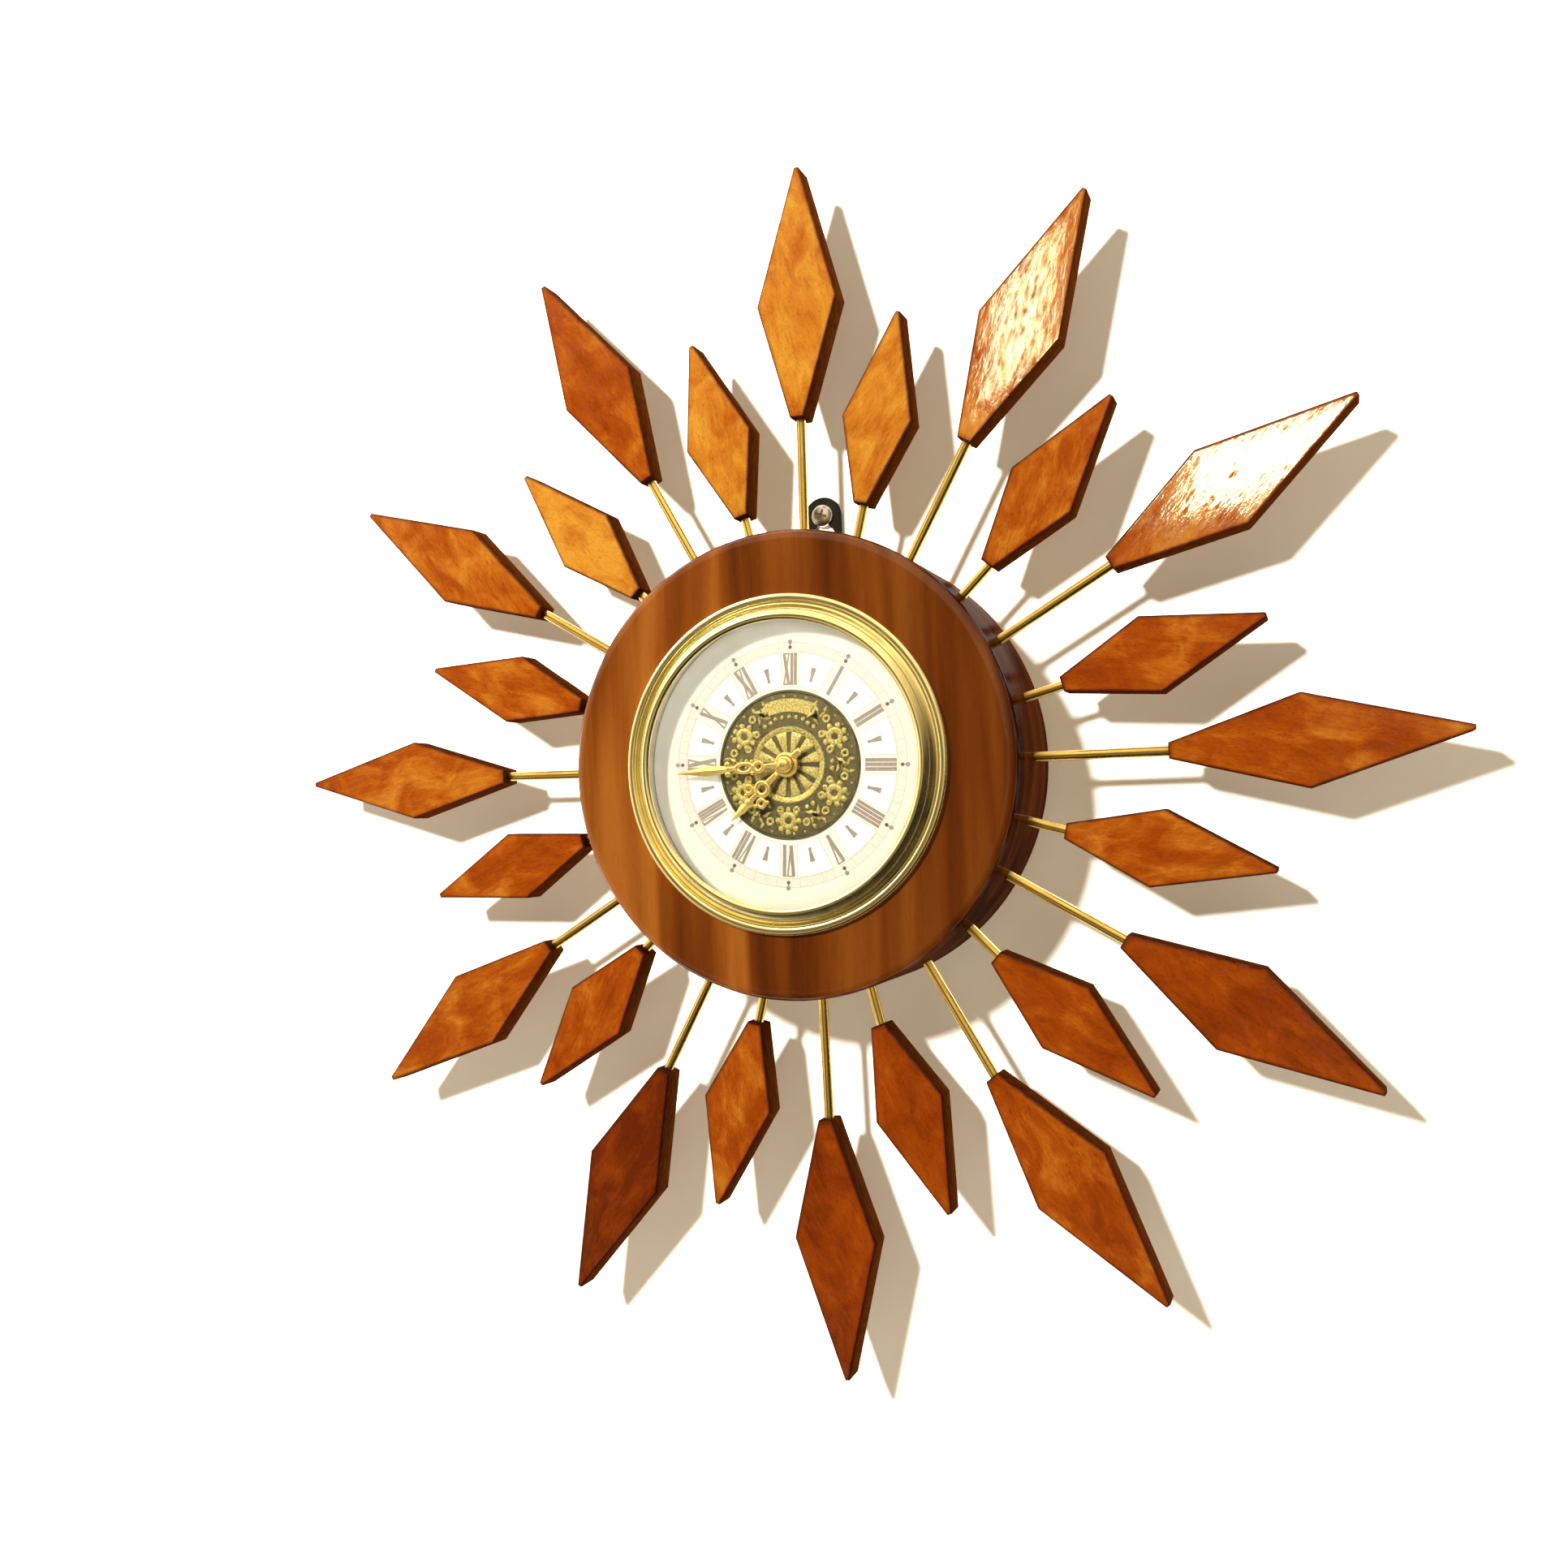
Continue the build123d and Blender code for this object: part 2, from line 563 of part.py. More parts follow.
def battery_contact(side):
    """A bent spring strip at one end of the chamber: side is 1 for plus and -1 for minus."""
    reach = PLUS_CONTACT_REACH if side > 0 else MINUS_CONTACT_REACH
    low = CASE_BACK + CONTACT_MARGIN_BACK
    high = CASE_FRONT_INSIDE - CONTACT_MARGIN_FRONT
    middle = (low + high) / 2
    outline = Polyline(
        (INSIDE, low),
        (INSIDE - CONTACT_STRIP, low),
        (reach, middle),
        (INSIDE - CONTACT_STRIP, high),
        (INSIDE, high),
        (INSIDE, high - 2 * CONTACT_STRIP),
        (reach + CONTACT_STRIP, middle),
        (INSIDE, low + 2 * CONTACT_STRIP),
        close=True,
    )
    leaf = extrude(make_face(Plane.XZ * outline), CONTACT_HALF_WIDTH, both=True)
    leaf = Pos(0, BATTERY_Y, 0) * leaf
    return leaf if side > 0 else mirror(leaf, about=Plane.YZ)


# ---- dial, bezel and glass ----
def bezel():
    """A rounded outer bead, a groove, and a broad raised inner ring that holds the glass."""
    lip_back = PAN_RIM_TOP + GLASS_THICKNESS + GLASS_PLAY
    pan_clear = PAN_RIM_TOP + BEZEL_PLAY
    rim_clear = PAN_RADIUS + BEZEL_PLAY
    flange_clear = DRUM_DEPTH + PAN_FLANGE_SHEET + BEZEL_PLAY
    groove = (BEZEL_GROOVE_RADIUS, BEZEL_GROOVE_FLOOR)
    crest = (BEZEL_CREST_RADIUS, BEZEL_TOP)
    bead = (BEZEL_BEAD_RADIUS, BEZEL_BEAD_TOP)
    bead_side = (BEZEL_RADIUS, BEZEL_BEAD_TOP - 1.3)
    bead_shoulder = (BEZEL_RADIUS - 0.4, BEZEL_BEAD_TOP - 0.4)
    bead_fall = (BEZEL_BEAD_RADIUS - 0.9, BEZEL_BEAD_TOP - 0.3)
    ring_face = (BEZEL_GROOVE_RADIUS - 1.3, BEZEL_GROOVE_FLOOR + 2.2)
    ring_fall = (GLASS_OPENING_RADIUS + 0.5, BEZEL_TOP - 0.3)
    ring_edge = (GLASS_OPENING_RADIUS, BEZEL_TOP - 0.9)
    profile = [
        Line((BEZEL_RADIUS, DRUM_DEPTH), bead_side),
        ThreePointArc(bead_side, bead_shoulder, bead),
        ThreePointArc(bead, bead_fall, groove),
        ThreePointArc(groove, ring_face, crest),
        ThreePointArc(crest, ring_fall, ring_edge),
        Line(ring_edge, (GLASS_OPENING_RADIUS, lip_back)),
        Line((GLASS_OPENING_RADIUS, lip_back), (BEZEL_GLASS_POCKET_RADIUS, lip_back)),
        Line((BEZEL_GLASS_POCKET_RADIUS, lip_back), (BEZEL_GLASS_POCKET_RADIUS, pan_clear)),
        Line((BEZEL_GLASS_POCKET_RADIUS, pan_clear), (rim_clear, pan_clear)),
        Line((rim_clear, pan_clear), (rim_clear, flange_clear)),
        Line((rim_clear, flange_clear), (BEZEL_FLANGE_POCKET_RADIUS, flange_clear)),
        Line((BEZEL_FLANGE_POCKET_RADIUS, flange_clear), (BEZEL_FLANGE_POCKET_RADIUS, DRUM_DEPTH)),
        Line((BEZEL_FLANGE_POCKET_RADIUS, DRUM_DEPTH), (BEZEL_RADIUS, DRUM_DEPTH)),
    ]
    return turned(Plane.XZ * Wire(profile))


def dial_pan():
    """The pressed dish that carries dial and movement, flanged over the drum's front."""
    flange_top = DRUM_DEPTH + PAN_FLANGE_SHEET
    inner = PAN_RADIUS - PAN_SHEET
    profile = Polyline(
        (BUSH_RADIUS, PAN_FLOOR_BACK),
        (PAN_RADIUS, PAN_FLOOR_BACK),
        (PAN_RADIUS, DRUM_DEPTH),
        (PAN_FLANGE_RADIUS, DRUM_DEPTH),
        (PAN_FLANGE_RADIUS, flange_top),
        (PAN_RADIUS, flange_top),
        (PAN_RADIUS, PAN_RIM_TOP),
        (inner, PAN_RIM_TOP),
        (inner, PAN_FLOOR_FRONT),
        (BUSH_RADIUS, PAN_FLOOR_FRONT),
        close=True,
    )
    return turned(Plane.XZ * profile)


def mounting_nut():
    """The round slotted nut that clamps the movement through the dial."""
    top = MEDALLION_FRONT + MOUNTING_NUT_THICKNESS
    nut = ring(MOUNTING_NUT_RADIUS, BUSH_RADIUS, MEDALLION_FRONT, top)
    across = (-MOUNTING_NUT_RADIUS - 1, MOUNTING_NUT_RADIUS + 1)
    slot_width = (-NUT_SLOT_HALF, NUT_SLOT_HALF)
    slot = block(across, slot_width, (top - NUT_SLOT_DEPTH, top + 1))
    return nut - (slot - disc(BUSH_RADIUS + 0.1, top - 1, top + 1))


def insert_clip():
    """A bent steel clip, screwed under the drum's ledge, that presses on the pan's back."""
    across = (-CLIP_HALF_WIDTH, CLIP_HALF_WIDTH)
    foot_reach = (CLIP_LEG_RADIUS, CLIP_FOOT_RADIUS)
    leg_reach = (CLIP_LEG_RADIUS, CLIP_LEG_RADIUS + CLIP_SHEET)
    foot = block(across, foot_reach, (LEDGE_BACK - CLIP_SHEET, LEDGE_BACK))
    leg = block(across, leg_reach, (LEDGE_BACK, PAN_FLOOR_BACK))
    return foot + leg


def wood_screw(shank_radius, head_radius, length):
    """A countersunk screw, head at z = 0, pointing out of the wall."""
    head_depth = head_radius - shank_radius
    screw = Pos(0, 0, head_depth / 2) * Cone(head_radius, shank_radius, head_depth)
    screw += disc(shank_radius, head_depth, length - 2 * shank_radius)
    tip = Pos(0, 0, length - shank_radius) * Cone(shank_radius, 0.2, 2 * shank_radius)
    return screw + tip


def cross_slot(head_radius):
    """The cross recess of a screw head at z = 0."""
    arm = head_radius * 0.6
    bar = block((-arm, arm), (-SCREW_SLOT_HALF, SCREW_SLOT_HALF), (-1.0, SCREW_SLOT_DEPTH))
    return bar + Rot(0, 0, 90) * bar


def clip_screw_places():
    """Where each clip's screw goes: its head lies flush in the clip's back."""
    low = LEDGE_BACK - CLIP_SHEET
    return [Rot(0, 0, -angle) * Pos(0, CLIP_SCREW_RADIUS, low) for angle in CLIP_ANGLES]


def hanger_screw_places():
    return [Pos(0, y, 0) for y in HANGER_SCREW_Y]


def screws(places, size, slotted=True):
    """Identical screws at several places, as one group of solids."""
    screw = wood_screw(*size)
    if slotted:
        screw = screw - cross_slot(size[1])
    return [place * screw for place in places]


# ---- hanger ----
def hanger_outline(grow, bottom):
    """The hanger's flat outline with its round top, grown by a clearance."""
    half = HANGER_WIDTH / 2 + grow
    body = Pos(0, (bottom + KEYHOLE_SLOT_Y) / 2) * Rectangle(2 * half, KEYHOLE_SLOT_Y - bottom)
    return body + Pos(0, KEYHOLE_SLOT_Y) * Circle(half)


def hanger_plate():
    outline = hanger_outline(0.0, HANGER_BOTTOM)
    outline -= Pos(0, KEYHOLE_ENTRY_Y) * Circle(KEYHOLE_ENTRY_RADIUS)
    outline -= Pos(0, KEYHOLE_SLOT_Y) * Circle(KEYHOLE_SLOT_WIDTH / 2)
    slot_length = KEYHOLE_SLOT_Y - KEYHOLE_ENTRY_Y
    slot_middle = (KEYHOLE_SLOT_Y + KEYHOLE_ENTRY_Y) / 2
    outline -= Pos(0, slot_middle) * Rectangle(KEYHOLE_SLOT_WIDTH, slot_length)
    plate = extrude(outline, HANGER_THICKNESS)
    for screw in screws(hanger_screw_places(), HANGER_SCREW, slotted=False):
        plate -= screw
    return plate


# ---- drum ----
def ray_angles(ray):
    """The clock angles of the twelve rods of a kind."""
    pitch = 360 / RAYS_OF_A_KIND
    return [ray["first"] + pitch * k + ray["drift"][k] for k in range(RAYS_OF_A_KIND)]


def drum_case():
    """The turned drum: a front bore for the dial pan, a wider rear bore, and rod holes."""
    drum = disc(DRUM_RADIUS, 0, DRUM_DEPTH)
    drum = fillet(drum.faces().sort_by(Axis.Z)[-1].edges(), DRUM_FRONT_ROUND)
    drum = fillet(drum.faces().sort_by(Axis.Z)[0].edges(), DRUM_BACK_ROUND)
    drum -= disc(FRONT_BORE_RADIUS, -1, DRUM_DEPTH + 1)
    drum -= disc(REAR_BORE_RADIUS, -1, LEDGE_BACK)
    hole = radial_bar(ROD_HOLE_RADIUS, ROD_START_RADIUS, DRUM_RADIUS + 1, ROD_HEIGHT)
    for angle in ray_angles(LONG_RAY) + ray_angles(SHORT_RAY):
        drum -= at_angle(angle, hole)
    recess = hanger_outline(HANGER_PLAY, HANGER_BOTTOM - HANGER_PLAY)
    drum -= extrude(recess, HANGER_THICKNESS)
    drum_screws = screws(hanger_screw_places(), HANGER_SCREW, slotted=False)
    drum_screws += screws(clip_screw_places(), CLIP_SCREW, slotted=False)
    for screw in drum_screws:
        drum -= screw
    return drum


# ---- rays ----
def diamond(ray):
    """One flat wooden diamond that points to twelve o'clock."""
    inner, widest, tip, width = ray["inner"], ray["widest"], ray["tip"], ray["width"]
    half_right = [
        (DIAMOND_INNER_FLAT / 2, inner),
        (width / 2, widest),
        (DIAMOND_TIP_FLAT / 2, tip),
    ]
    half_left = [(-x, y) for x, y in reversed(half_right)]
    back = ROD_HEIGHT - DIAMOND_THICKNESS / 2
    body = slab(half_right + half_left, back, back + DIAMOND_THICKNESS)
    body = fillet(body.faces().sort_by(Axis.Z)[-1].edges(), DIAMOND_FRONT_ROUND)
    return fillet(body.faces().sort_by(Axis.Z)[0].edges(), DIAMOND_BACK_ROUND)


def fitted_diamonds(ray):
    """The twelve diamonds of a kind, each leaning on its rod, with the blind hole for it."""
    inner = ray["inner"]
    blank = diamond(ray)
    hole = radial_bar(ROD_HOLE_RADIUS, inner - 2, inner + ray["socket"], ROD_HEIGHT)
    fitted = []
    for angle, lean in zip(ray_angles(ray), ray["lean"]):
        leaning = Pos(0, inner, 0) * Rot(0, 0, -lean) * Pos(0, -inner, 0) * blank
        fitted.append(at_angle(angle, leaning - hole))
    return fitted


def rods(ray):
    """The brass rods of one kind of ray, as a group of separate solids."""
    rod = radial_bar(ROD_RADIUS, ROD_START_RADIUS, ray["inner"] + ray["socket"], ROD_HEIGHT)
    return [at_angle(angle, rod) for angle in ray_angles(ray)]


# ---- hands ----
def eyelet(outer, inner, x, y):
    """A flat ring of a pierced hand."""
    return Pos(x, y) * (Circle(outer) - Circle(inner))


def upright(width, low, high):
    """A straight strip of a hand, along its middle line."""
    return Pos(0, (low + high) / 2) * Rectangle(width, high - low)


def spear(base, widest, base_half, widest_half, tip):
    """The pointed blade at the end of a hand."""
    right = [(base_half, base), (widest_half, widest), (0, tip)]
    left = [(-widest_half, widest), (-base_half, base)]
    return make_face(Polyline(*right, *left, close=True))


def hour_hand():
    """A pierced serpentine hand: hub, ring, two side scrolls, knob and spear, with a tail."""
    tail_end = HOUR_HAND_TAIL_RADIUS - HOUR_HAND_TAIL
    shape = Circle(MOUNTING_NUT_RADIUS)
    shape += upright(2 * HOUR_HAND_TAIL_RADIUS, tail_end, 0)
    shape += Pos(0, tail_end) * Circle(HOUR_HAND_TAIL_RADIUS)
    shape += upright(*HOUR_HAND_NECK)
    for ring_size in HOUR_HAND_RINGS:
        shape += eyelet(*ring_size)
    shape += upright(*HOUR_HAND_BRIDGE)
    shape += Pos(0, HOUR_HAND_KNOB[1]) * Circle(HOUR_HAND_KNOB[0])
    shape += spear(*HOUR_HAND_SPEAR, HOUR_HAND_LENGTH)
    shape -= Circle(HOUR_PIPE_RADIUS)
    flat = extrude(shape, HOUR_HAND_FRONT - HOUR_HAND_BACK)
    return at_angle(HOUR_HAND_ANGLE, Pos(0, 0, HOUR_HAND_BACK) * flat)


def minute_hand():
    """A pierced serpentine hand: hub, ring, long loop, two knobs and a long spear."""
    half_width, half_height, hole_half_width, hole_half_height = MINUTE_HAND_LOOP
    loop = Ellipse(half_width, half_height) - Ellipse(hole_half_width, hole_half_height)
    shape = Circle(MINUTE_HAND_HUB_RADIUS)
    shape += upright(*MINUTE_HAND_NECK)
    shape += eyelet(*MINUTE_HAND_RING)
    shape += Pos(0, MINUTE_HAND_LOOP_Y) * loop
    shape += upright(*MINUTE_HAND_BRIDGE)
    for x, y in MINUTE_HAND_KNOBS:
        shape += Pos(x, y) * Circle(MINUTE_HAND_KNOB_RADIUS)
    shape += spear(*MINUTE_HAND_SPEAR, MINUTE_HAND_LENGTH)
    shape -= Circle(MINUTE_SHAFT_RADIUS)
    flat = extrude(shape, MINUTE_HAND_FRONT - MINUTE_HAND_BACK)
    return at_angle(MINUTE_HAND_ANGLE, Pos(0, 0, MINUTE_HAND_BACK) * flat)


def hand_nut():
    """The small domed cap nut on the minute shaft."""
    nut = disc(HAND_NUT_RADIUS, MINUTE_HAND_FRONT, HAND_NUT_TOP)
    nut = fillet(nut.faces().sort_by(Axis.Z)[-1].edges(), HAND_NUT_ROUND)
    return nut - disc(MINUTE_SHAFT_RADIUS, MINUTE_HAND_FRONT - 1, HAND_NUT_TOP - HAND_NUT_CAP)


# ---- the whole clock ----
def build_nodes():
    """Every piece of the clock by name; a list is a group of identical solids."""
    nodes = {
        "drum_case": drum_case(),
        "hanger_plate": hanger_plate(),
        "hanger_screws": screws(hanger_screw_places(), HANGER_SCREW),
        "long_rods": rods(LONG_RAY),
        "short_rods": rods(SHORT_RAY),
        "bezel": bezel(),
        "glass": disc(GLASS_RADIUS, PAN_RIM_TOP, PAN_RIM_TOP + GLASS_THICKNESS),
        "dial_pan": dial_pan(),
        "dial": ring(DIAL_RADIUS, BUSH_RADIUS, PAN_FLOOR_FRONT, DIAL_FRONT),
        "dial_centre": ring(DIAL_CENTRE_RADIUS, BUSH_RADIUS, DIAL_FRONT, MEDALLION_FRONT),
        "insert_clips": [at_angle(angle, insert_clip()) for angle in CLIP_ANGLES],
        "insert_screws": screws(clip_screw_places(), CLIP_SCREW),
        "hour_hand": hour_hand(),
        "minute_hand": minute_hand(),
        "hand_nut": hand_nut(),
        "mounting_nut": mounting_nut(),
        "rubber_washer": ring(WASHER_RADIUS, BUSH_RADIUS, CASE_FRONT, PAN_FLOOR_BACK),
        "movement_case": movement_case(),
        "movement_cover": movement_cover(),
        "train_plate": train_plate(),
        "stator": stator(),
        "coil_core": coil_core(),
        "coil_bobbin": coil_bobbin(),
        "coil_winding": coil_winding(),
        "circuit_board": circuit_board(),
        "crystal_can": crystal_can(),
        "rotor": rotor(),
        "step_wheel": train_wheel(
            STEP_WHEEL, STEP_LAYER, STEP_PINION, SECONDS_LAYER, STEP_AXIS, STEP_TURN
        ),
        "seconds_wheel": train_wheel(
            SECONDS_WHEEL, SECONDS_LAYER, SECONDS_PINION, THIRD_LAYER, SECONDS_AXIS, SECONDS_TURN
        ),
        "third_wheel": train_wheel(
            THIRD_WHEEL, THIRD_LAYER, THIRD_PINION, CENTRE_LAYER, THIRD_AXIS, THIRD_TURN
        ),
        "centre_wheel": centre_wheel(),
        "motion_wheel": motion_wheel(),
        "hour_wheel": hour_wheel(),
        "setting_knob": setting_knob(),
        "battery": battery(),
        "battery_contacts": [battery_contact(1), battery_contact(-1)],
    }
    screw_seats = Compound(screws(clip_screw_places(), CLIP_SCREW, slotted=False))
    nodes["insert_clips"] = [clip - screw_seats for clip in nodes["insert_clips"]]
    for kind, ray in (("long", LONG_RAY), ("short", SHORT_RAY)):
        for number, body in enumerate(fitted_diamonds(ray), start=1):
            nodes[f"{kind}_diamond_{number:02d}"] = body
    return nodes


def main():
    os.makedirs("parts", exist_ok=True)
    for name, pieces in build_nodes().items():
        group = pieces if isinstance(pieces, list) else [pieces]
        solids = [solid for piece in group for solid in stand_up(piece).solids()]
        node = solids[0] if len(solids) == 1 else Compound(solids)
        export_step(node, f"parts/{name}.step")


main()
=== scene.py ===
import json
import math
import random

import bmesh
import bpy
from mathutils import Matrix, Vector


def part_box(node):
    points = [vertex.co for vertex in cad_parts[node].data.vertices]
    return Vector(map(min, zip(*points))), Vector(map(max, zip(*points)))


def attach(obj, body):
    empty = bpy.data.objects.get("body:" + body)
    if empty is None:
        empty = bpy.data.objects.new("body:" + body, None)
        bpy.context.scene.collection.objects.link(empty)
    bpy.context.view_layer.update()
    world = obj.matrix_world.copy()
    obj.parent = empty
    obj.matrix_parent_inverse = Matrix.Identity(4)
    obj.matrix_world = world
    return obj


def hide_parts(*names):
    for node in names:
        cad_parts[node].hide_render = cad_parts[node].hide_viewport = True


# The looks of a sunburst wall clock: a turned drum with a brass-framed dial, twenty-four
# varnished diamonds on brass rods, pierced hands, a stamped dial centre and a battery movement.
#
# Pieces are drawn in millimetres as the clock lies face up on a bench: x to the right of the
# dial, y up the dial, z out of the wall. stand_up() turns them into the frame, in metres.

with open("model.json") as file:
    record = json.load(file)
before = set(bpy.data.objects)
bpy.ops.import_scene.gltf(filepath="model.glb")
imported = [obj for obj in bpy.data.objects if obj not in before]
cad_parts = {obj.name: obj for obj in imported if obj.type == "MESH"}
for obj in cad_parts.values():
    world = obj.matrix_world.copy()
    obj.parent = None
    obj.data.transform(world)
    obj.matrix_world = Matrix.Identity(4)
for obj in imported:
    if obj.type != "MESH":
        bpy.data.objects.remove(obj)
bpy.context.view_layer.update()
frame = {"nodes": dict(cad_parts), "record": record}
NODES = frame["nodes"]

MM = 0.001
STAND_UP = Matrix.Rotation(math.radians(90), 4, "X") @ Matrix.Scale(MM, 4)


# ---- places, from the frame ----
def back_of(node):
    """How far a node's back lies from the wall, in millimetres."""
    return -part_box(node)[1].y / MM


def front_of(node):
    """How far a node's front lies from the wall, in millimetres."""
    return -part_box(node)[0].y / MM


def half_width(node):
    """A round node's radius, in millimetres."""
    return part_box(node)[1].x / MM


DIAL_FRONT = front_of("dial")
CENTRE_RADIUS = half_width("dial_centre")
CENTRE_FRONT = front_of("dial_centre")
DIAMOND_BACK = back_of("long_diamond_01")
DIAMOND_FRONT = front_of("long_diamond_01")
HOUR_ANGLE = 228.5
MINUTE_ANGLE = 268.0
DIAL_TURN = 2.6  # the printed dial sits this much clockwise of upright


# ---- mesh helpers ----
def polar(radius, clock_angle):
    """A point at a radius and a clockwise angle from twelve o'clock."""
    angle = math.radians(clock_angle)
    return radius * math.sin(angle), radius * math.cos(angle)


def clock_arc(radius, start, end, steps):
    """Points on an arc about the dial's axis, between two clockwise angles."""
    return [polar(radius, start + (end - start) * k / steps) for k in range(steps + 1)]


def arc(centre, radius, start, end, steps):
    """Points on an arc about a centre; angles run anticlockwise from +x, in degrees."""
    angles = [math.radians(start + (end - start) * k / steps) for k in range(steps + 1)]
    return [(centre[0] + radius * math.cos(a), centre[1] + radius * math.sin(a)) for a in angles]


def swing(points, clock_angle, pivot=(0.0, 0.0)):
    """Turns plane points clockwise about a pivot."""
    angle = math.radians(clock_angle)
    cos, sin = math.cos(angle), math.sin(angle)
    turned = []
    for x, y in points:
        x, y = x - pivot[0], y - pivot[1]
        turned.append((pivot[0] + x * cos + y * sin, pivot[1] - x * sin + y * cos))
    return turned


def shift(points, dx, dy):
    return [(x + dx, y + dy) for x, y in points]


def add_rings(bm, rings, cap_start=True, cap_end=True):
    """Joins closed rings of 3-D points, one to the next, with quads and flat ends."""
    made = [[bm.verts.new(point) for point in ring] for ring in rings]
    count = len(rings[0])
    for low, high in zip(made, made[1:]):
        for k in range(count):
            after = (k + 1) % count
            bm.faces.new((low[k], low[after], high[after], high[k]))
    if cap_start:
        bm.faces.new(list(reversed(made[0])))
    if cap_end:
        bm.faces.new(made[-1])
    return made


def add_prism(bm, outline, low, high):
    """A flat plate with an anticlockwise outline."""
    add_rings(bm, [[(x, y, z) for x, y in outline] for z in (low, high)])


def add_lathe(bm, profile, centre=(0.0, 0.0), steps=96):
    """A turned ring from its closed profile of (radius, z)."""
    columns = []
    for k in range(steps):
        angle = 2 * math.pi * k / steps
        cos, sin = math.cos(angle), math.sin(angle)
        columns.append([
            bm.verts.new((centre[0] + r * cos, centre[1] + r * sin, z)) for r, z in profile
        ])
    count = len(profile)
    for k in range(steps):
        here, there = columns[k], columns[(k + 1) % steps]
        for j in range(count):
            after = (j + 1) % count
            bm.faces.new((here[j], there[j], there[after], here[after]))


def add_bead(bm, centre, radius, half, low, high, steps=40):
    """A ring with a round-topped section, half wide each side of its radius."""
    crown = [(radius + half * math.cos(t), low + (high - low) * (0.25 + 0.75 * math.sin(t)))
             for t in [math.pi * k / 8 for k in range(9)]]
    profile = [(radius - half, low), (radius + half, low)] + crown
    add_lathe(bm, profile, centre, steps)


def add_dome(bm, centre, radius, low, high, steps=24):
    """A low round boss."""
    levels = [(1.0, 0.0), (1.0, 0.3), (0.9, 0.62), (0.7, 0.85), (0.4, 0.97), (0.12, 1.0)]
    rings = []
    for share, rise in levels:
        outline = arc(centre, radius * share, 0, 360 - 360 / steps, steps - 1)
        rings.append([(x, y, low + (high - low) * rise) for x, y in outline])
    add_rings(bm, rings)


def add_crowned(bm, outline, low, high, inset=0.55):
    """A plate whose top draws in towards its middle line, as stamped relief does."""
    middle_x = sum(x for x, _ in outline) / len(outline)
    middle_y = sum(y for _, y in outline) / len(outline)
    levels = [(1.0, 0.0), (1.0, 0.35), (0.93, 0.75), (inset, 1.0)]
    rings = []
    for share, rise in levels:
        z = low + (high - low) * rise
        rings.append([
            (middle_x + (x - middle_x) * share, middle_y + (y - middle_y) * share, z)
            for x, y in outline
        ])
    add_rings(bm, rings)


def box_outline(x0, y0, x1, y1):
    return [(x0, y0), (x1, y0), (x1, y1), (x0, y1)]


def stand_up(bm, name, body, slot, *materials, smooth=35.0):
    """Makes a piece of a bench drawing and lets it ride on a body."""
    bmesh.ops.recalc_face_normals(bm, faces=bm.faces)
    bm.transform(STAND_UP)
    mesh = bpy.data.meshes.new(name)
    bm.to_mesh(mesh)
    bm.free()
    for material in materials:
        mesh.materials.append(material)
    mesh.shade_smooth()
    mesh.set_sharp_from_angle(angle=math.radians(smooth))
    piece = bpy.data.objects.new(name, mesh)
    bpy.context.scene.collection.objects.link(piece)
    if body:
        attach(piece, body)
    return piece


def apply_modifiers(piece):
    """Bakes a piece's modifiers into its mesh."""
    graph = bpy.context.evaluated_depsgraph_get()
    shaped = bpy.data.meshes.new_from_object(piece.evaluated_get(graph))
    shaped.name = piece.name
    piece.modifiers.clear()
    piece.data = shaped


# ---- material helpers ----
class NodeTree:
    """A tree of shader nodes. Its methods return output sockets."""

    def __init__(self, tree):
        self.tree = tree

    def fill(self, socket, value):
        """Gives a socket a constant or another node's output."""
        if isinstance(value, bpy.types.NodeSocket):
            self.tree.links.new(value, socket)
        elif isinstance(value, tuple) and len(value) == 3 and socket.type == "RGBA":
            socket.default_value = (*value, 1.0)
        else:
            socket.default_value = value

    def node(self, kind, *inputs, **settings):
        made = self.tree.nodes.new("ShaderNode" + kind)
        for key, value in settings.items():
            setattr(made, key, value)
        for socket, value in zip(made.inputs, inputs):
            if value is not None:
                self.fill(socket, value)
        return made

    def math(self, operation, first, second=None, third=None):
        return self.node("Math", first, second, third, operation=operation).outputs["Value"]

    def range(self, value, low, high, new_low, new_high, **settings):
        made = self.node("MapRange", value, low, high, new_low, new_high, **settings)
        return made.outputs["Result"]

    def ramp(self, factor, *stops, interpolation="LINEAR"):
        """Colours or values at positions along 0 to 1."""
        made = self.node("ValToRGB", factor)
        made.color_ramp.interpolation = interpolation
        elements = made.color_ramp.elements
        while len(elements) < len(stops):
            elements.new(0.5)
        for element, (position, colour) in zip(elements, stops):
            element.position = position
            if isinstance(colour, float):
                colour = (colour, colour, colour)
            element.color = (*colour, 1.0)
        return made.outputs["Color"]


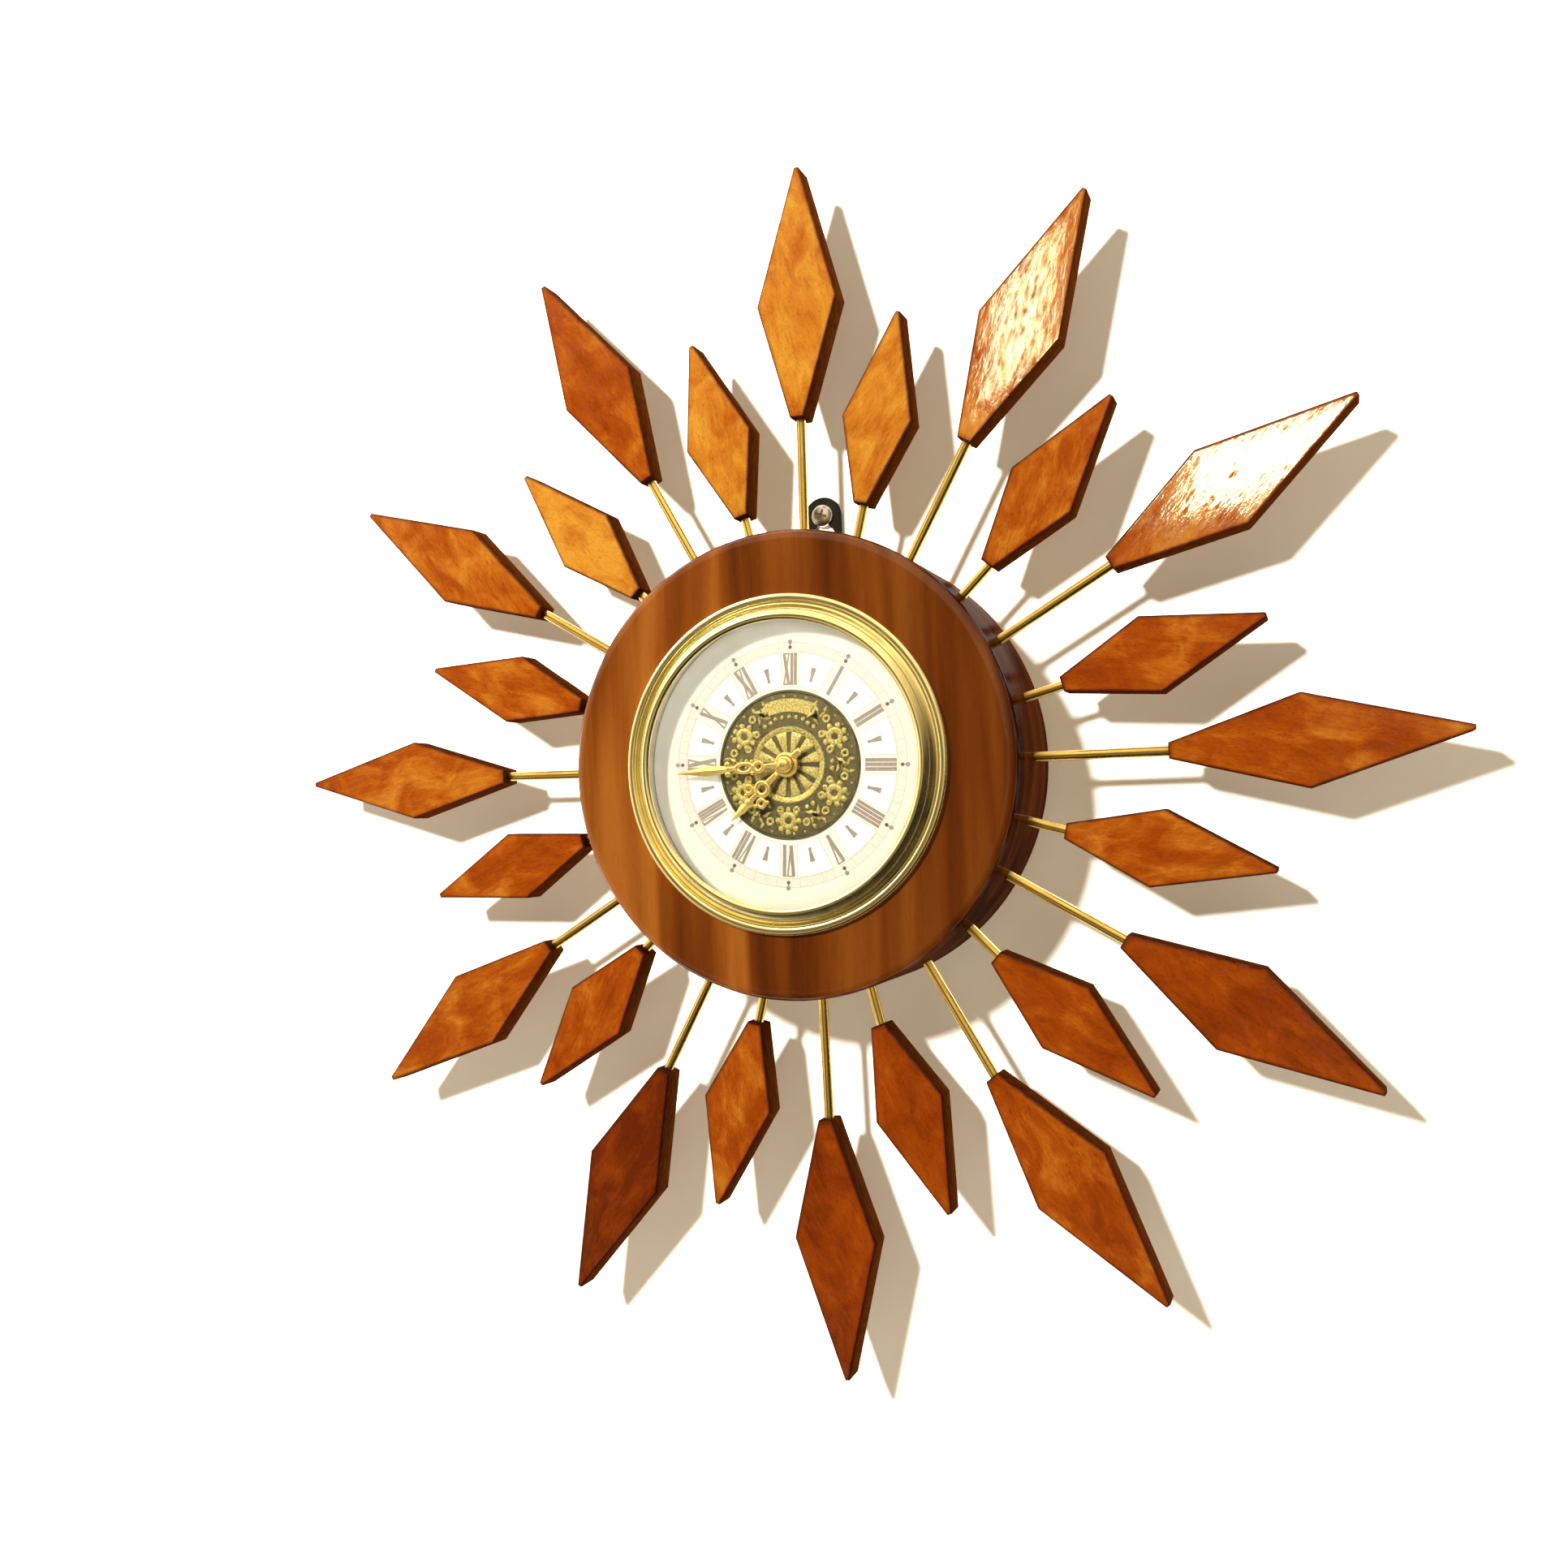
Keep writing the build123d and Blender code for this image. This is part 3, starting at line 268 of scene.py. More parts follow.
class Shader(NodeTree):
    """One material's nodes. Lengths are in millimetres."""

    def __init__(self, name, **constants):
        self.material = bpy.data.materials.new(name)
        self.material.use_nodes = True
        super().__init__(self.material.node_tree)
        self.surface = self.tree.nodes["Principled BSDF"]
        for key, value in constants.items():
            self.set(key.replace("_", " "), value)

    def set(self, socket, value):
        """Fills a socket of the surface."""
        self.fill(self.surface.inputs[socket], value)

    def place(self, stretch=(1.0, 1.0, 1.0), turn=(0.0, 0.0, 0.0), grain=False):
        """Where a point lies in the piece, or in its board of wood, stretched along the axes."""
        if grain:
            source, unit = self.node("Attribute", attribute_name="grain").outputs["Vector"], 1.0
        else:
            source, unit = self.node("TexCoord").outputs["Object"], 1 / MM
        mapping = self.node("Mapping", source)
        mapping.inputs["Rotation"].default_value = tuple(math.radians(angle) for angle in turn)
        mapping.inputs["Scale"].default_value = tuple(unit * s for s in stretch)
        return mapping.outputs["Vector"]

    def noise(self, place, scale, detail=3.0, roughness=0.55, distortion=0.0):
        made = self.node("TexNoise")
        self.fill(made.inputs["Vector"], place)
        made.inputs["Scale"].default_value = scale
        made.inputs["Detail"].default_value = detail
        made.inputs["Roughness"].default_value = roughness
        made.inputs["Distortion"].default_value = distortion
        return made.outputs["Fac"]

    def attribute(self, name):
        return self.node("Attribute", attribute_name=name).outputs["Fac"]

    def mix(self, factor, first, second, blend="MIX"):
        made = self.node("MixRGB", factor, first, second, blend_type=blend)
        return made.outputs["Color"]

    def darken(self, share, colour, by):
        """Multiplies a colour by another to a share."""
        return self.mix(share, colour, self.mix(1.0, colour, by, "MULTIPLY"))

    def gloss(self, field, smooth, dull):
        """Varies the roughness with a noise."""
        self.set("Roughness", self.range(field, 0.3, 0.7, smooth, dull))

    def bump(self, height, depth, below=None):
        """Raises the surface by height times depth millimetres."""
        made = self.node("Bump")
        made.inputs["Distance"].default_value = depth * MM
        self.fill(made.inputs["Height"], height)
        if below is not None:
            self.fill(made.inputs["Normal"], below)
        return made.outputs["Normal"]

    def let_through(self, share, tint=(1.0, 1.0, 1.0)):
        """Lets a share of the rays pass straight through the surface."""
        clear = self.node("BsdfTransparent", tint)
        mixed = self.node("MixShader", share, self.surface.outputs[0], clear.outputs[0])
        self.fill(self.tree.nodes["Material Output"].inputs["Surface"], mixed.outputs[0])


# ---- woods ----
def teak():
    """Orange-brown varnished teak: mottled tone, short dark pores, and edges darkened partly by stain and
    partly by painted shade.
    """
    shader = Shader("teak", Coat_Roughness=0.09, Specular_IOR_Level=0.0)
    along = shader.place((1.0, 0.16, 1.0), grain=True)
    blotch = shader.noise(shader.place((1.0, 0.55, 1.0), grain=True), 0.11, 3.0, 0.6, 0.6)
    figure = shader.noise(along, 0.55, 5.0, 0.65, 1.2)
    pores = shader.noise(along, 4.5, 2.0, 0.5)
    field = shader.math("MULTIPLY_ADD", blotch, 0.32, shader.math("MULTIPLY", figure, 0.12))
    field = shader.math("ADD", field, shader.attribute("tone"))
    colour = shader.ramp(
        field,
        (0.06, (0.13, 0.020, 0.0015)),
        (0.16, (0.27, 0.045, 0.0020)),
        (0.22, (0.35, 0.070, 0.0030)),
        (0.26, (0.44, 0.118, 0.0080)),
        (0.32, (0.56, 0.215, 0.0220)),
        (0.37, (0.65, 0.310, 0.0350)),
    )
    dark_pores = shader.ramp(pores, (0.33, (0.45, 0.34, 0.30)), (0.45, (1.0, 1.0, 1.0)))
    colour = shader.darken(0.55, colour, dark_pores)
    # Painted shade, partly stain: the face darkens along its rounded edges, as the rim attribute says.
    edge_stain_and_shade_noise = shader.math("MULTIPLY_ADD", figure, 0.5, shader.attribute("rim"))
    rim = shader.ramp(edge_stain_and_shade_noise, (0.35, 0.0), (0.75, 1.0))
    shader.set("Base Color", shader.darken(rim, colour, (0.22, 0.13, 0.09)))
    shader.gloss(figure, 0.38, 0.55)
    speckle = shader.noise(shader.place((1.0, 0.30, 1.0), grain=True), 0.60, 3.0, 0.65)
    shader.set("Coat Weight", shader.ramp(speckle, (0.31, 0.0), (0.40, 0.22), (0.60, 0.75)))
    varnish = shader.bump(speckle, 0.05)
    shader.set("Normal", shader.bump(pores, 0.01, varnish))
    shader.set("Coat Normal", varnish)
    return shader.material


def teak_side_stain_and_shade():
    """The diamonds' sawn sides and backs: the same wood, hardly glossy, dark with stain and with painted
    shade.
    """
    shader = Shader("teak_side_stain_and_shade", Specular_IOR_Level=0.0)
    along = shader.place((1.0, 0.16, 1.0), grain=True)
    figure = shader.noise(along, 0.8, 4.0, 0.6)
    saw = shader.noise(shader.place((0.25, 0.25, 1.0), grain=True), 2.6, 3.0, 0.6)
    # Painted shade, partly stain: the sides are coloured far darker than the faces.
    colour = shader.ramp(figure, (0.3, (0.045, 0.010, 0.002)), (0.7, (0.110, 0.027, 0.004)))
    shader.set("Base Color", shader.mix(0.35, colour, shader.mix(saw, (0.01, 0.004, 0.001), colour)))
    shader.gloss(saw, 0.55, 0.72)
    shader.set("Normal", shader.bump(saw, 0.05))
    return shader.material


def drum_wood():
    """Red-brown hardwood with broad upright bands, varnished; painted light lifts its left and painted
    shade darkens its right, and it is darker on its side.
    """
    shader = Shader("drum_wood", Coat_Roughness=0.10, Specular_IOR_Level=0.0)
    straight = shader.place((1.0, 1.0, 0.06), (0.0, 2.5, 0.0))
    bands = shader.noise(straight, 0.055, 2.0, 0.5, 0.5)
    stripes = shader.noise(straight, 0.20, 4.0, 0.62, 0.6)
    pores = shader.noise(shader.place((1.0, 1.0, 0.07), (0.0, 2.5, 0.0)), 3.6, 2.0, 0.6)
    field = shader.math("MULTIPLY_ADD", bands, 0.85, shader.math("MULTIPLY", stripes, 0.16))
    colour = shader.ramp(
        field,
        (0.36, (0.055, 0.010, 0.001)),
        (0.45, (0.115, 0.026, 0.002)),
        (0.54, (0.185, 0.046, 0.004)),
        (0.66, (0.290, 0.092, 0.012)),
    )
    dark_pores = shader.ramp(pores, (0.34, (0.45, 0.34, 0.30)), (0.46, (1.0, 1.0, 1.0)))
    colour = shader.darken(0.2, colour, dark_pores)
    split = shader.node("SeparateXYZ", shader.place())
    across, up = split.outputs["X"], split.outputs["Z"]
    squares = shader.math("MULTIPLY_ADD", across, across, shader.math("MULTIPLY", up, up))
    rim = half_width("drum_case")
    side = shader.range(shader.math("SQRT", squares), rim - 1.2, rim - 0.2, 0.0, 1.0)
    # Painted light and shade: the front is lifted on the left, towards the lamp, and darkened to the right.
    painted_shade_rightward = shader.range(across, -0.3 * rim, 0.6 * rim, 0.0, 1.0)
    shade = shader.mix(painted_shade_rightward, (1.15, 1.2, 1.3), (0.64, 0.57, 0.48))
    colour = shader.mix(1.0, colour, shade, "MULTIPLY")
    shader.set("Base Color", shader.darken(side, colour, (0.50, 0.42, 0.36)))
    shader.set("Coat Weight", shader.range(side, 0.0, 1.0, 0.6, 0.06))
    shader.gloss(stripes, 0.36, 0.50)
    ripple = shader.bump(shader.noise(straight, 0.8, 2.0), 0.03)
    shader.set("Normal", shader.bump(pores, 0.01, ripple))
    shader.set("Coat Normal", shader.bump(pores, 0.002, ripple))
    return shader.material


# ---- metals ----
def worn_metal(name, light, dark, roughness, grain=1.0, tarnish=0.5, scratches=0.002):
    """A polished metal: cloudy tarnish, fine scratches and uneven gloss."""
    shader = Shader(name, Metallic=1.0)
    cloud = shader.noise(shader.place(), 0.16 * grain, 4.0, 0.6)
    scratch = shader.noise(shader.place(), 4.0 * grain, 2.0, 0.6)
    amount = shader.ramp(cloud, (0.42, 0.0), (0.72, tarnish))
    shader.set("Base Color", shader.mix(amount, light, dark))
    shader.gloss(cloud, roughness * 0.75, roughness * 1.5)
    shader.set("Normal", shader.bump(scratch, scratches))
    return shader.material


def medallion_ground():
    """Dark olive bronze, grained by the stamping die."""
    shader = Shader("medallion_ground", Metallic=0.4)
    grain = shader.noise(shader.place(), 2.4, 3.0, 0.6)
    colour = shader.ramp(grain, (0.3, (0.022, 0.019, 0.006)), (0.7, (0.100, 0.084, 0.026)))
    shader.set("Base Color", colour)
    shader.gloss(grain, 0.40, 0.62)
    shader.set("Normal", shader.bump(grain, 0.06))
    return shader.material


def medallion_gilt():
    """The pale gold of the raised pattern, rubbed through to bronze in its hollows."""
    shader = Shader("medallion_gilt", Metallic=0.45)
    grain = shader.noise(shader.place(), 1.6, 4.0, 0.65)
    colour = shader.ramp(
        grain,
        (0.34, (0.15, 0.115, 0.025)),
        (0.50, (0.48, 0.395, 0.12)),
        (0.68, (0.85, 0.75, 0.30)),
    )
    shader.set("Base Color", colour)
    shader.gloss(grain, 0.45, 0.28)
    shader.set("Normal", shader.bump(grain, 0.03))
    return shader.material


# ---- paints, prints and plastics ----
def mottled(name, light, dark, roughness, scale=1.2, relief=0.01, coat=0.0):
    """A painted, printed or moulded surface: faint tone variation, a fine skin and uneven gloss."""
    shader = Shader(name, Coat_Weight=coat, Coat_Roughness=0.15)
    cloud = shader.noise(shader.place(), 0.12 * scale, 4.0, 0.6)
    skin = shader.noise(shader.place(), 9.0 * scale, 2.0, 0.6)
    shader.set("Base Color", shader.mix(shader.range(cloud, 0.35, 0.65, 0.0, 1.0), light, dark))
    shader.gloss(cloud, roughness * 0.85, roughness * 1.2)
    shader.set("Normal", shader.bump(skin, relief))
    return shader.material


def winding():
    """Fine enamelled copper wire, turn beside turn up the coil."""
    shader = Shader("copper_winding", Metallic=0.9, Roughness=0.32)
    turns = shader.node("TexWave", shader.place(), bands_direction="Z")
    turns.inputs["Scale"].default_value = 1.6
    turns.inputs["Distortion"].default_value = 0.3
    height = turns.outputs["Fac"]
    shader.set("Base Color", shader.ramp(height, (0.1, (0.20, 0.05, 0.02)), (0.9, (0.75, 0.30, 0.12))))
    shader.set("Normal", shader.bump(height, 0.06))
    return shader.material


def battery_sleeve():
    """A plain printed sleeve: black with a copper-coloured end band, steel at both ends."""
    shader = Shader("battery_jacket", Coat_Weight=0.6, Coat_Roughness=0.12)
    low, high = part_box("battery")
    split = shader.node("SeparateXYZ", shader.node("TexCoord").outputs["Object"])
    across = shader.range(split.outputs["X"], low.x, high.x, 0.0, 1.0)
    cloud = shader.noise(shader.place(), 0.4, 3.0)
    steel, black, copper = (0.62, 0.62, 0.60), (0.012, 0.012, 0.014), (0.52, 0.24, 0.08)
    bands = (0.0, steel), (0.022, black), (0.70, copper), (0.955, steel)
    printed = shader.ramp(across, *bands, interpolation="CONSTANT")
    shader.set("Base Color", shader.mix(0.25, printed, shader.mix(cloud, printed, (0.3, 0.3, 0.3))))
    shader.set("Metallic", shader.ramp(across, (0.70, 0.0), (0.701, 0.9)))
    shader.gloss(cloud, 0.25, 0.4)
    shader.set("Normal", shader.bump(cloud, 0.02))
    return shader.material


def window_glass():
    """Clear flat glass that lets the lamps' light straight through."""
    shader = Shader("clear_glass", Transmission_Weight=1.0, IOR=1.45)
    shader.set("Base Color", (0.97, 0.985, 0.975))
    smear = shader.noise(shader.place(), 0.09, 3.0)
    shader.set("Roughness", shader.range(smear, 0.4, 0.7, 0.0, 0.03))
    path = shader.node("LightPath")
    lamps = shader.math("MAXIMUM", path.outputs["Is Shadow Ray"], path.outputs["Is Diffuse Ray"])
    shader.let_through(lamps, (0.94, 0.955, 0.945))
    return shader.material


# ---- diamonds ----
# Where a diamond starts, is widest and ends, from the clock's axis, and how wide it is.
LONG_RAY = (118.0, 157.5, 203.2, 29.0)
SHORT_RAY = (89.0, 117.5, 153.0, 25.0)
RAYS = 24
INNER_FLAT_HALF, TIP_FLAT_HALF = 2.5, 0.8
BACK_CHAMFER = 0.35
SHARPEST = 0.02  # the least radius of a corner
CROWN = 0.22  # how far the face rises towards its middle
# How golden (above nought) or rusty each diamond is, clockwise from twelve o'clock.
TONES = (
    0.10, 0.08, 0.05, 0.03, 0.05, 0.0, 0.0, 0.02, -0.06, -0.02, 0.0, -0.04,
    -0.08, 0.0, -0.15, 0.0, 0.02, 0.0, 0.03, 0.02, 0.04, 0.13, 0.0, 0.09,
)


def rounded_outline(corners, radii, inset, steps=4):
    """A convex outline drawn in by an inset, each corner rounded; the point count never changes."""
    count = len(corners)
    points = []
    for k in range(count):
        before, here, after = (Vector(corners[(k + d) % count]) for d in (-1, 0, 1))
        inward = (here - before).normalized()
        onward = (after - here).normalized()
        half_turn = inward.angle_signed(onward) / -2
        normal_in = Vector((-inward.y, inward.x))
        normal_on = Vector((-onward.y, onward.x))
        bisector = (normal_in + normal_on).normalized()
        middle = here + bisector * (radii[k] / math.cos(half_turn))
        radius = max(radii[k] - inset, SHARPEST)
        pushed = max(inset - radii[k], 0.0)
        middle = middle + bisector * (pushed / math.cos(half_turn))
        for j in range(steps + 1):
            share = j / steps
            normal = normal_in.lerp(normal_on, share).normalized()
            points.append(tuple(middle - normal * radius))
    return points


def diamond_mesh(ray, rng):
    """A diamond that points to twelve o'clock: crowned face, rounded edges, slightly uneven."""
    inner, widest, tip, width = ray
    skew = rng.uniform(-0.9, 0.9)
    half = width / 2
    corners = [
        (INNER_FLAT_HALF, inner), (half - rng.uniform(0.0, 0.25), widest + skew), (TIP_FLAT_HALF, tip),
        (-TIP_FLAT_HALF, tip), (-half + rng.uniform(0.0, 0.25), widest - skew), (-INNER_FLAT_HALF, inner),
    ]
    corner = rng.uniform(0.5, 1.3)
    radii = [0.3, corner, 0.4, 0.4, corner, 0.3]
    edge = rng.uniform(0.6, 0.8)
    shoulder = DIAMOND_FRONT - CROWN
    bm = bmesh.new()
    # rim: how dark each ring is painted, 1 on the sides and back and fading over the rounded edge and brow;
    # partly stain, partly painted shade.
    rim = bm.verts.layers.float.new("rim")
    levels = [(BACK_CHAMFER, DIAMOND_BACK, 1.0), (0.0, DIAMOND_BACK + BACK_CHAMFER, 1.0)]
    levels.append((0.0, shoulder - edge, 1.0))
    for step in range(1, 6):
        turn = math.pi / 2 * step / 5
        height = shoulder - edge * (1 - math.sin(turn))
        levels.append((edge * (1 - math.cos(turn)), height, 1.0 - 0.14 * step))
    rings = []
    for inset, z, _ in levels:
        rings.append([(x, y, z) for x, y in rounded_outline(corners, radii, inset)])
    edge_stain_and_shade_levels = [shade for _, _, shade in levels]
    brow = rings[-1]
    for share, shade in ((0.975, 0.16), (0.93, 0.06), (0.80, 0.0), (0.55, 0.0), (0.25, 0.0), (0.04, 0.0)):
        z = DIAMOND_FRONT - CROWN * share ** 2
        rings.append([(x * share, widest + (y - widest) * share, z) for x, y, _ in brow])
        edge_stain_and_shade_levels.append(shade)
    for ring, shade in zip(add_rings(bm, rings), edge_stain_and_shade_levels):
        for vert in ring:
            vert[rim] = shade
    return bm


def tip_and_direction(node):
    """Where a diamond's tip lies on the bench and which way it points, from its CAD solid."""
    mesh = NODES[node].data
    upright = [face for face in mesh.polygons if abs(face.normal.y) < 0.05]
    inner_end = min(upright, key=lambda face: Vector((face.center.x, face.center.z)).length)
    direction = -Vector((inner_end.normal.x, inner_end.normal.z)).normalized()
    side = Vector((direction.y, -direction.x))
    points = [Vector((vert.co.x, vert.co.z)) / MM for vert in mesh.vertices]
    reach = max(point.dot(direction) for point in points)
    across = [point.dot(side) for point in points if point.dot(direction) > reach - 0.05]
    return direction * reach + side * (min(across) + max(across)) / 2, direction


def make_diamonds(face_wood, side_wood_stain_and_shade):
    rng = random.Random(24)
    for k in range(RAYS):
        is_long = k % 2 == 0
        node = f"{'long' if is_long else 'short'}_diamond_{k // 2 + 1:02d}"
        ray = LONG_RAY if is_long else SHORT_RAY
        bm = diamond_mesh(ray, rng)
        offset = Vector([rng.uniform(-400, 400) for _ in range(3)])
        slant = math.radians(rng.uniform(-26, 26))
        cut = Matrix.Rotation(slant, 4, "Z")
        grain = [offset + cut @ vert.co for vert in bm.verts]
        tip, direction = tip_and_direction(node)
        turn = Matrix.Rotation(-math.atan2(direction.x, direction.y), 4, "Z")
        to_place = tip.to_3d() - turn @ Vector((0.0, ray[2], 0.0))
        bm.transform(Matrix.Translation(to_place) @ turn)
        piece = stand_up(bm, f"{node}_varnished", "root", "teak", face_wood, side_wood_stain_and_shade, smooth=50.0)
        write_attribute(piece, "grain", "FLOAT_VECTOR", [c for point in grain for c in point])
        write_attribute(piece, "tone", "FLOAT", [TONES[k]] * len(grain))
        faces = piece.data.polygons
        faces.foreach_set("material_index", [0 if face.normal.y < -0.5 else 1 for face in faces])
        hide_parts(node)


def write_attribute(piece, name, kind, values):
    layer = piece.data.attributes.new(name, kind, "POINT")
    layer.data.foreach_set("vector" if kind == "FLOAT_VECTOR" else "value", values)


# ---- dial print ----
PRINT_RISE = 0.04
TINT_RISE = 0.01
PANEL_INNER, PANEL_OUTER = 25.6, 36.4
TRACK_INNER, TRACK_OUTER = 36.9, 39.9
COLUMN_HALF = 3.25
NUMERAL_INNER, NUMERAL_OUTER = 26.2, 36.2
NUMERAL_WIDEST = 5.0
NUMERALS = ("XII", "I", "II", "III", "IIII", "V", "VI", "VII", "VIII", "IX", "X", "XI")
GLYPH_WIDTH = {"I": 1.45, "V": 2.90, "X": 2.90}


def panel_outline(grow):
    """A white panel between two numerals, about the half hour at 15 degrees."""
    def edge_angle(radius):
        return math.degrees(math.asin((COLUMN_HALF - grow) / radius))

    inner, outer = PANEL_INNER - grow, PANEL_OUTER + grow
    low = clock_arc(inner, edge_angle(inner), 30 - edge_angle(inner), 10)
    return low + clock_arc(outer, 30 - edge_angle(outer), edge_angle(outer), 10)


def stroke(x0, y0, x1, y1, width):
    """The outline of one straight stroke of a numeral."""
    direction = Vector((x1 - x0, y1 - y0)).normalized() * (width / 2)
    side = Vector((-direction.y, direction.x))
    corners = [(x0 + side.x, y0 + side.y), (x0 - side.x, y0 - side.y)]
    return corners + [(x1 - side.x, y1 - side.y), (x1 + side.x, y1 + side.y)]


def numeral_strokes(text):
    """The strokes of a roman numeral, upright, centred on x = 0."""
    natural = sum(GLYPH_WIDTH[letter] for letter in text)
    squeeze = min(1.0, NUMERAL_WIDEST / natural)
    thick, thin, serif = 1.22 * squeeze, 0.62 * squeeze, 0.50
    low, high = NUMERAL_INNER, NUMERAL_OUTER
    x = -natural * squeeze / 2
    strokes = []
    for letter in text:
        width = GLYPH_WIDTH[letter] * squeeze
        middle = x + width / 2
        reach = width / 2 - 0.08
        lean = reach - 0.35 * squeeze
        if letter == "I":
            strokes.append(stroke(middle, low, middle, high, thick))
        elif letter == "V":
            strokes.append(stroke(middle - lean, high, middle, low, thick))
            strokes.append(stroke(middle + lean, high, middle, low, thin))
        else:
            strokes.append(stroke(middle - lean, high, middle + lean, low, thick))
            strokes.append(stroke(middle + lean, high, middle - lean, low, thin))
        feet = (high,) if letter == "V" else (low, high)
        for y in feet:
            strokes.append(stroke(middle - reach, y, middle + reach, y, serif))
        x += width
    return strokes


def make_dial_print(white, grey, faint, dark, tint):
    low = DIAL_FRONT - 0.02
    panels, borders, numerals, track, marks = (bmesh.new() for _ in range(5))
    for hour in range(12):
        turn = 30 * hour + DIAL_TURN
        add_prism(borders, swing(panel_outline(0.28), turn), low, DIAL_FRONT + PRINT_RISE)
        add_prism(panels, swing(panel_outline(0.0), turn), low, DIAL_FRONT + 2 * PRINT_RISE)
        for k, outline in enumerate(numeral_strokes(NUMERALS[hour])):
            top = DIAL_FRONT + PRINT_RISE * (1.0 + 0.06 * k)
            add_prism(numerals, swing(outline, turn), low, top)
        keystone = [(-0.42, 28.6), (0.42, 28.6), (0.95, 32.4), (-0.95, 32.4)]
        top = DIAL_FRONT + 3 * PRINT_RISE
        add_prism(marks, swing(keystone, turn + 15), DIAL_FRONT, top)
        head = arc((0.0, 28.2), 0.62, 0, 330, 11)
        add_prism(marks, swing(head, turn + 15), DIAL_FRONT, top + 0.005)
        dot = arc((0.0, 38.3), 0.62, 0, 330, 11)
        add_prism(track, swing(dot, turn), low, DIAL_FRONT + 2 * PRINT_RISE)
        drop = arc((0.0, 40.1), 0.75, -20, 200, 8) + [(0.0, 38.9)]
        add_prism(marks, swing(drop, turn), low, DIAL_FRONT + 1.5 * PRINT_RISE)
    make_minute_track(borders, low)
    band = bmesh.new()
    add_lathe(band, box_outline(TRACK_INNER, low, TRACK_OUTER, DIAL_FRONT + TINT_RISE), steps=180)
    prints = (
        ("dial_track_band", band, tint), ("dial_panels", panels, white), ("dial_borders", borders, faint),
        ("dial_numerals", numerals, grey), ("dial_marks", marks, grey), ("dial_hour_dots", track, dark),
    )
    for name, drawing, ink in prints:
        stand_up(drawing, name, "root", "dial_card", ink)


def make_minute_track(bm, low):
    """Two fine rings with a short line at each minute between them."""
    line = 0.11
    for radius in (TRACK_INNER, TRACK_OUTER):
        top = DIAL_FRONT + PRINT_RISE
        add_lathe(bm, box_outline(radius - line, low, radius + line, top), steps=180)
    for minute in range(60):
        tick = stroke(0.0, TRACK_INNER, 0.0, TRACK_OUTER, 0.16)
        add_prism(bm, swing(tick, 6 * minute + DIAL_TURN), low, DIAL_FRONT + 0.8 * PRINT_RISE)


# ---- dial centre ----
CENTRE_HOLE = 3.05
RELIEF_DEPTH = 0.45


def sector(inner, outer, start, end, steps=12):
    """A piece of a flat ring between two clock angles."""
    outline = clock_arc(inner, start, end, steps) + clock_arc(outer, end, start, steps)
    return list(reversed(outline))


def make_medallion(ground, gilt):
    """The stamped disc: a dark ground with a beaded rim and a gilt pattern raised on it."""
    floor = CENTRE_FRONT - RELIEF_DEPTH
    radius = CENTRE_RADIUS
    base = bmesh.new()
    profile = [
        (CENTRE_HOLE, DIAL_FRONT), (radius, DIAL_FRONT), (radius, CENTRE_FRONT - 0.15),
        (radius - 0.2, CENTRE_FRONT), (radius - 0.7, CENTRE_FRONT), (radius - 1.0, floor),
        (CENTRE_HOLE, floor),
    ]
    add_lathe(base, profile, steps=192)
    piece = stand_up(base, "dial_centre_ground", "root", "bronze_medallion", ground)
    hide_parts("dial_centre")

    relief = bmesh.new()
    low, top = floor - 0.02, CENTRE_FRONT
    add_rosette(relief, low, top)
    add_plaque(relief, low, top)
    for hour in (2, 4, 6, 8, 10):
        add_scroll(relief, 30 * hour, low, top)
    for hour in (1, 3, 5, 7, 9, 11):
        add_block(relief, 30 * hour, low, top)
    for k in range(36):
        x, y = polar(22.4, 10 * k + 5)
        add_dome(relief, (x, y), 0.42, low, top - 0.12, 10)
    relief.transform(Matrix.Rotation(-math.radians(DIAL_TURN), 4, "Z"))
    stand_up(relief, "dial_centre_relief", "root", "bronze_medallion", gilt)


def add_rosette(bm, low, top):
    """The inner wheel: a ring, and twelve ribs between dark slots."""
    rim_inner, rim_outer = 10.6, 12.6
    profile = [
        (rim_inner, low), (rim_outer, low), (rim_outer, top - 0.25), (rim_outer - 0.3, top),
        (rim_inner + 0.3, top), (rim_inner, top - 0.2),
    ]
    add_lathe(bm, profile, steps=120)
    for k in range(12):
        rib = [(-0.55, 4.2), (0.55, 4.2), (0.85, 5.2), (1.95, 10.9), (-1.95, 10.9), (-0.85, 5.2)]
        add_crowned(bm, swing(rib, 30 * k + 15), low, top - 0.03, 0.6)


def add_plaque(bm, low, top):
    """The blank curved plaque at the top with its stepped ends."""
    add_prism(bm, sector(17.3, 21.6, -24, 24), low, top - 0.12)
    add_prism(bm, sector(17.9, 18.5, -22, 22), low, top)
    add_prism(bm, sector(20.4, 21.0, -22, 22), low, top)
    for side in (-1, 1):
        add_prism(bm, sector(18.5, 20.4, side * 22 - 1.4, side * 22 + 1.4), low, top)
        add_crowned(bm, sector(18.1, 20.8, side * 26.8 - 2.0, side * 26.8 + 2.0), low, top)
    for k in range(-2, 3):
        add_dome(bm, polar(15.6, 9 * k), 0.75, low, top - 0.08, 12)


def add_scroll(bm, angle, low, top):
    """A ring with a pierced middle and a fringe of small leaves."""
    centre = polar(18.2, angle)
    add_bead(bm, centre, 2.05, 1.0, low, top, 28)
    for k in range(8):
        spot = swing([(centre[0], centre[1] + 3.6)], 45 * k + angle, centre)[0]
        add_dome(bm, spot, 1.0, low, top - 0.06, 12)
    for side in (-1, 1):
        add_bead(bm, polar(15.0, angle + side * 11), 0.85, 0.50, low, top - 0.05, 14)


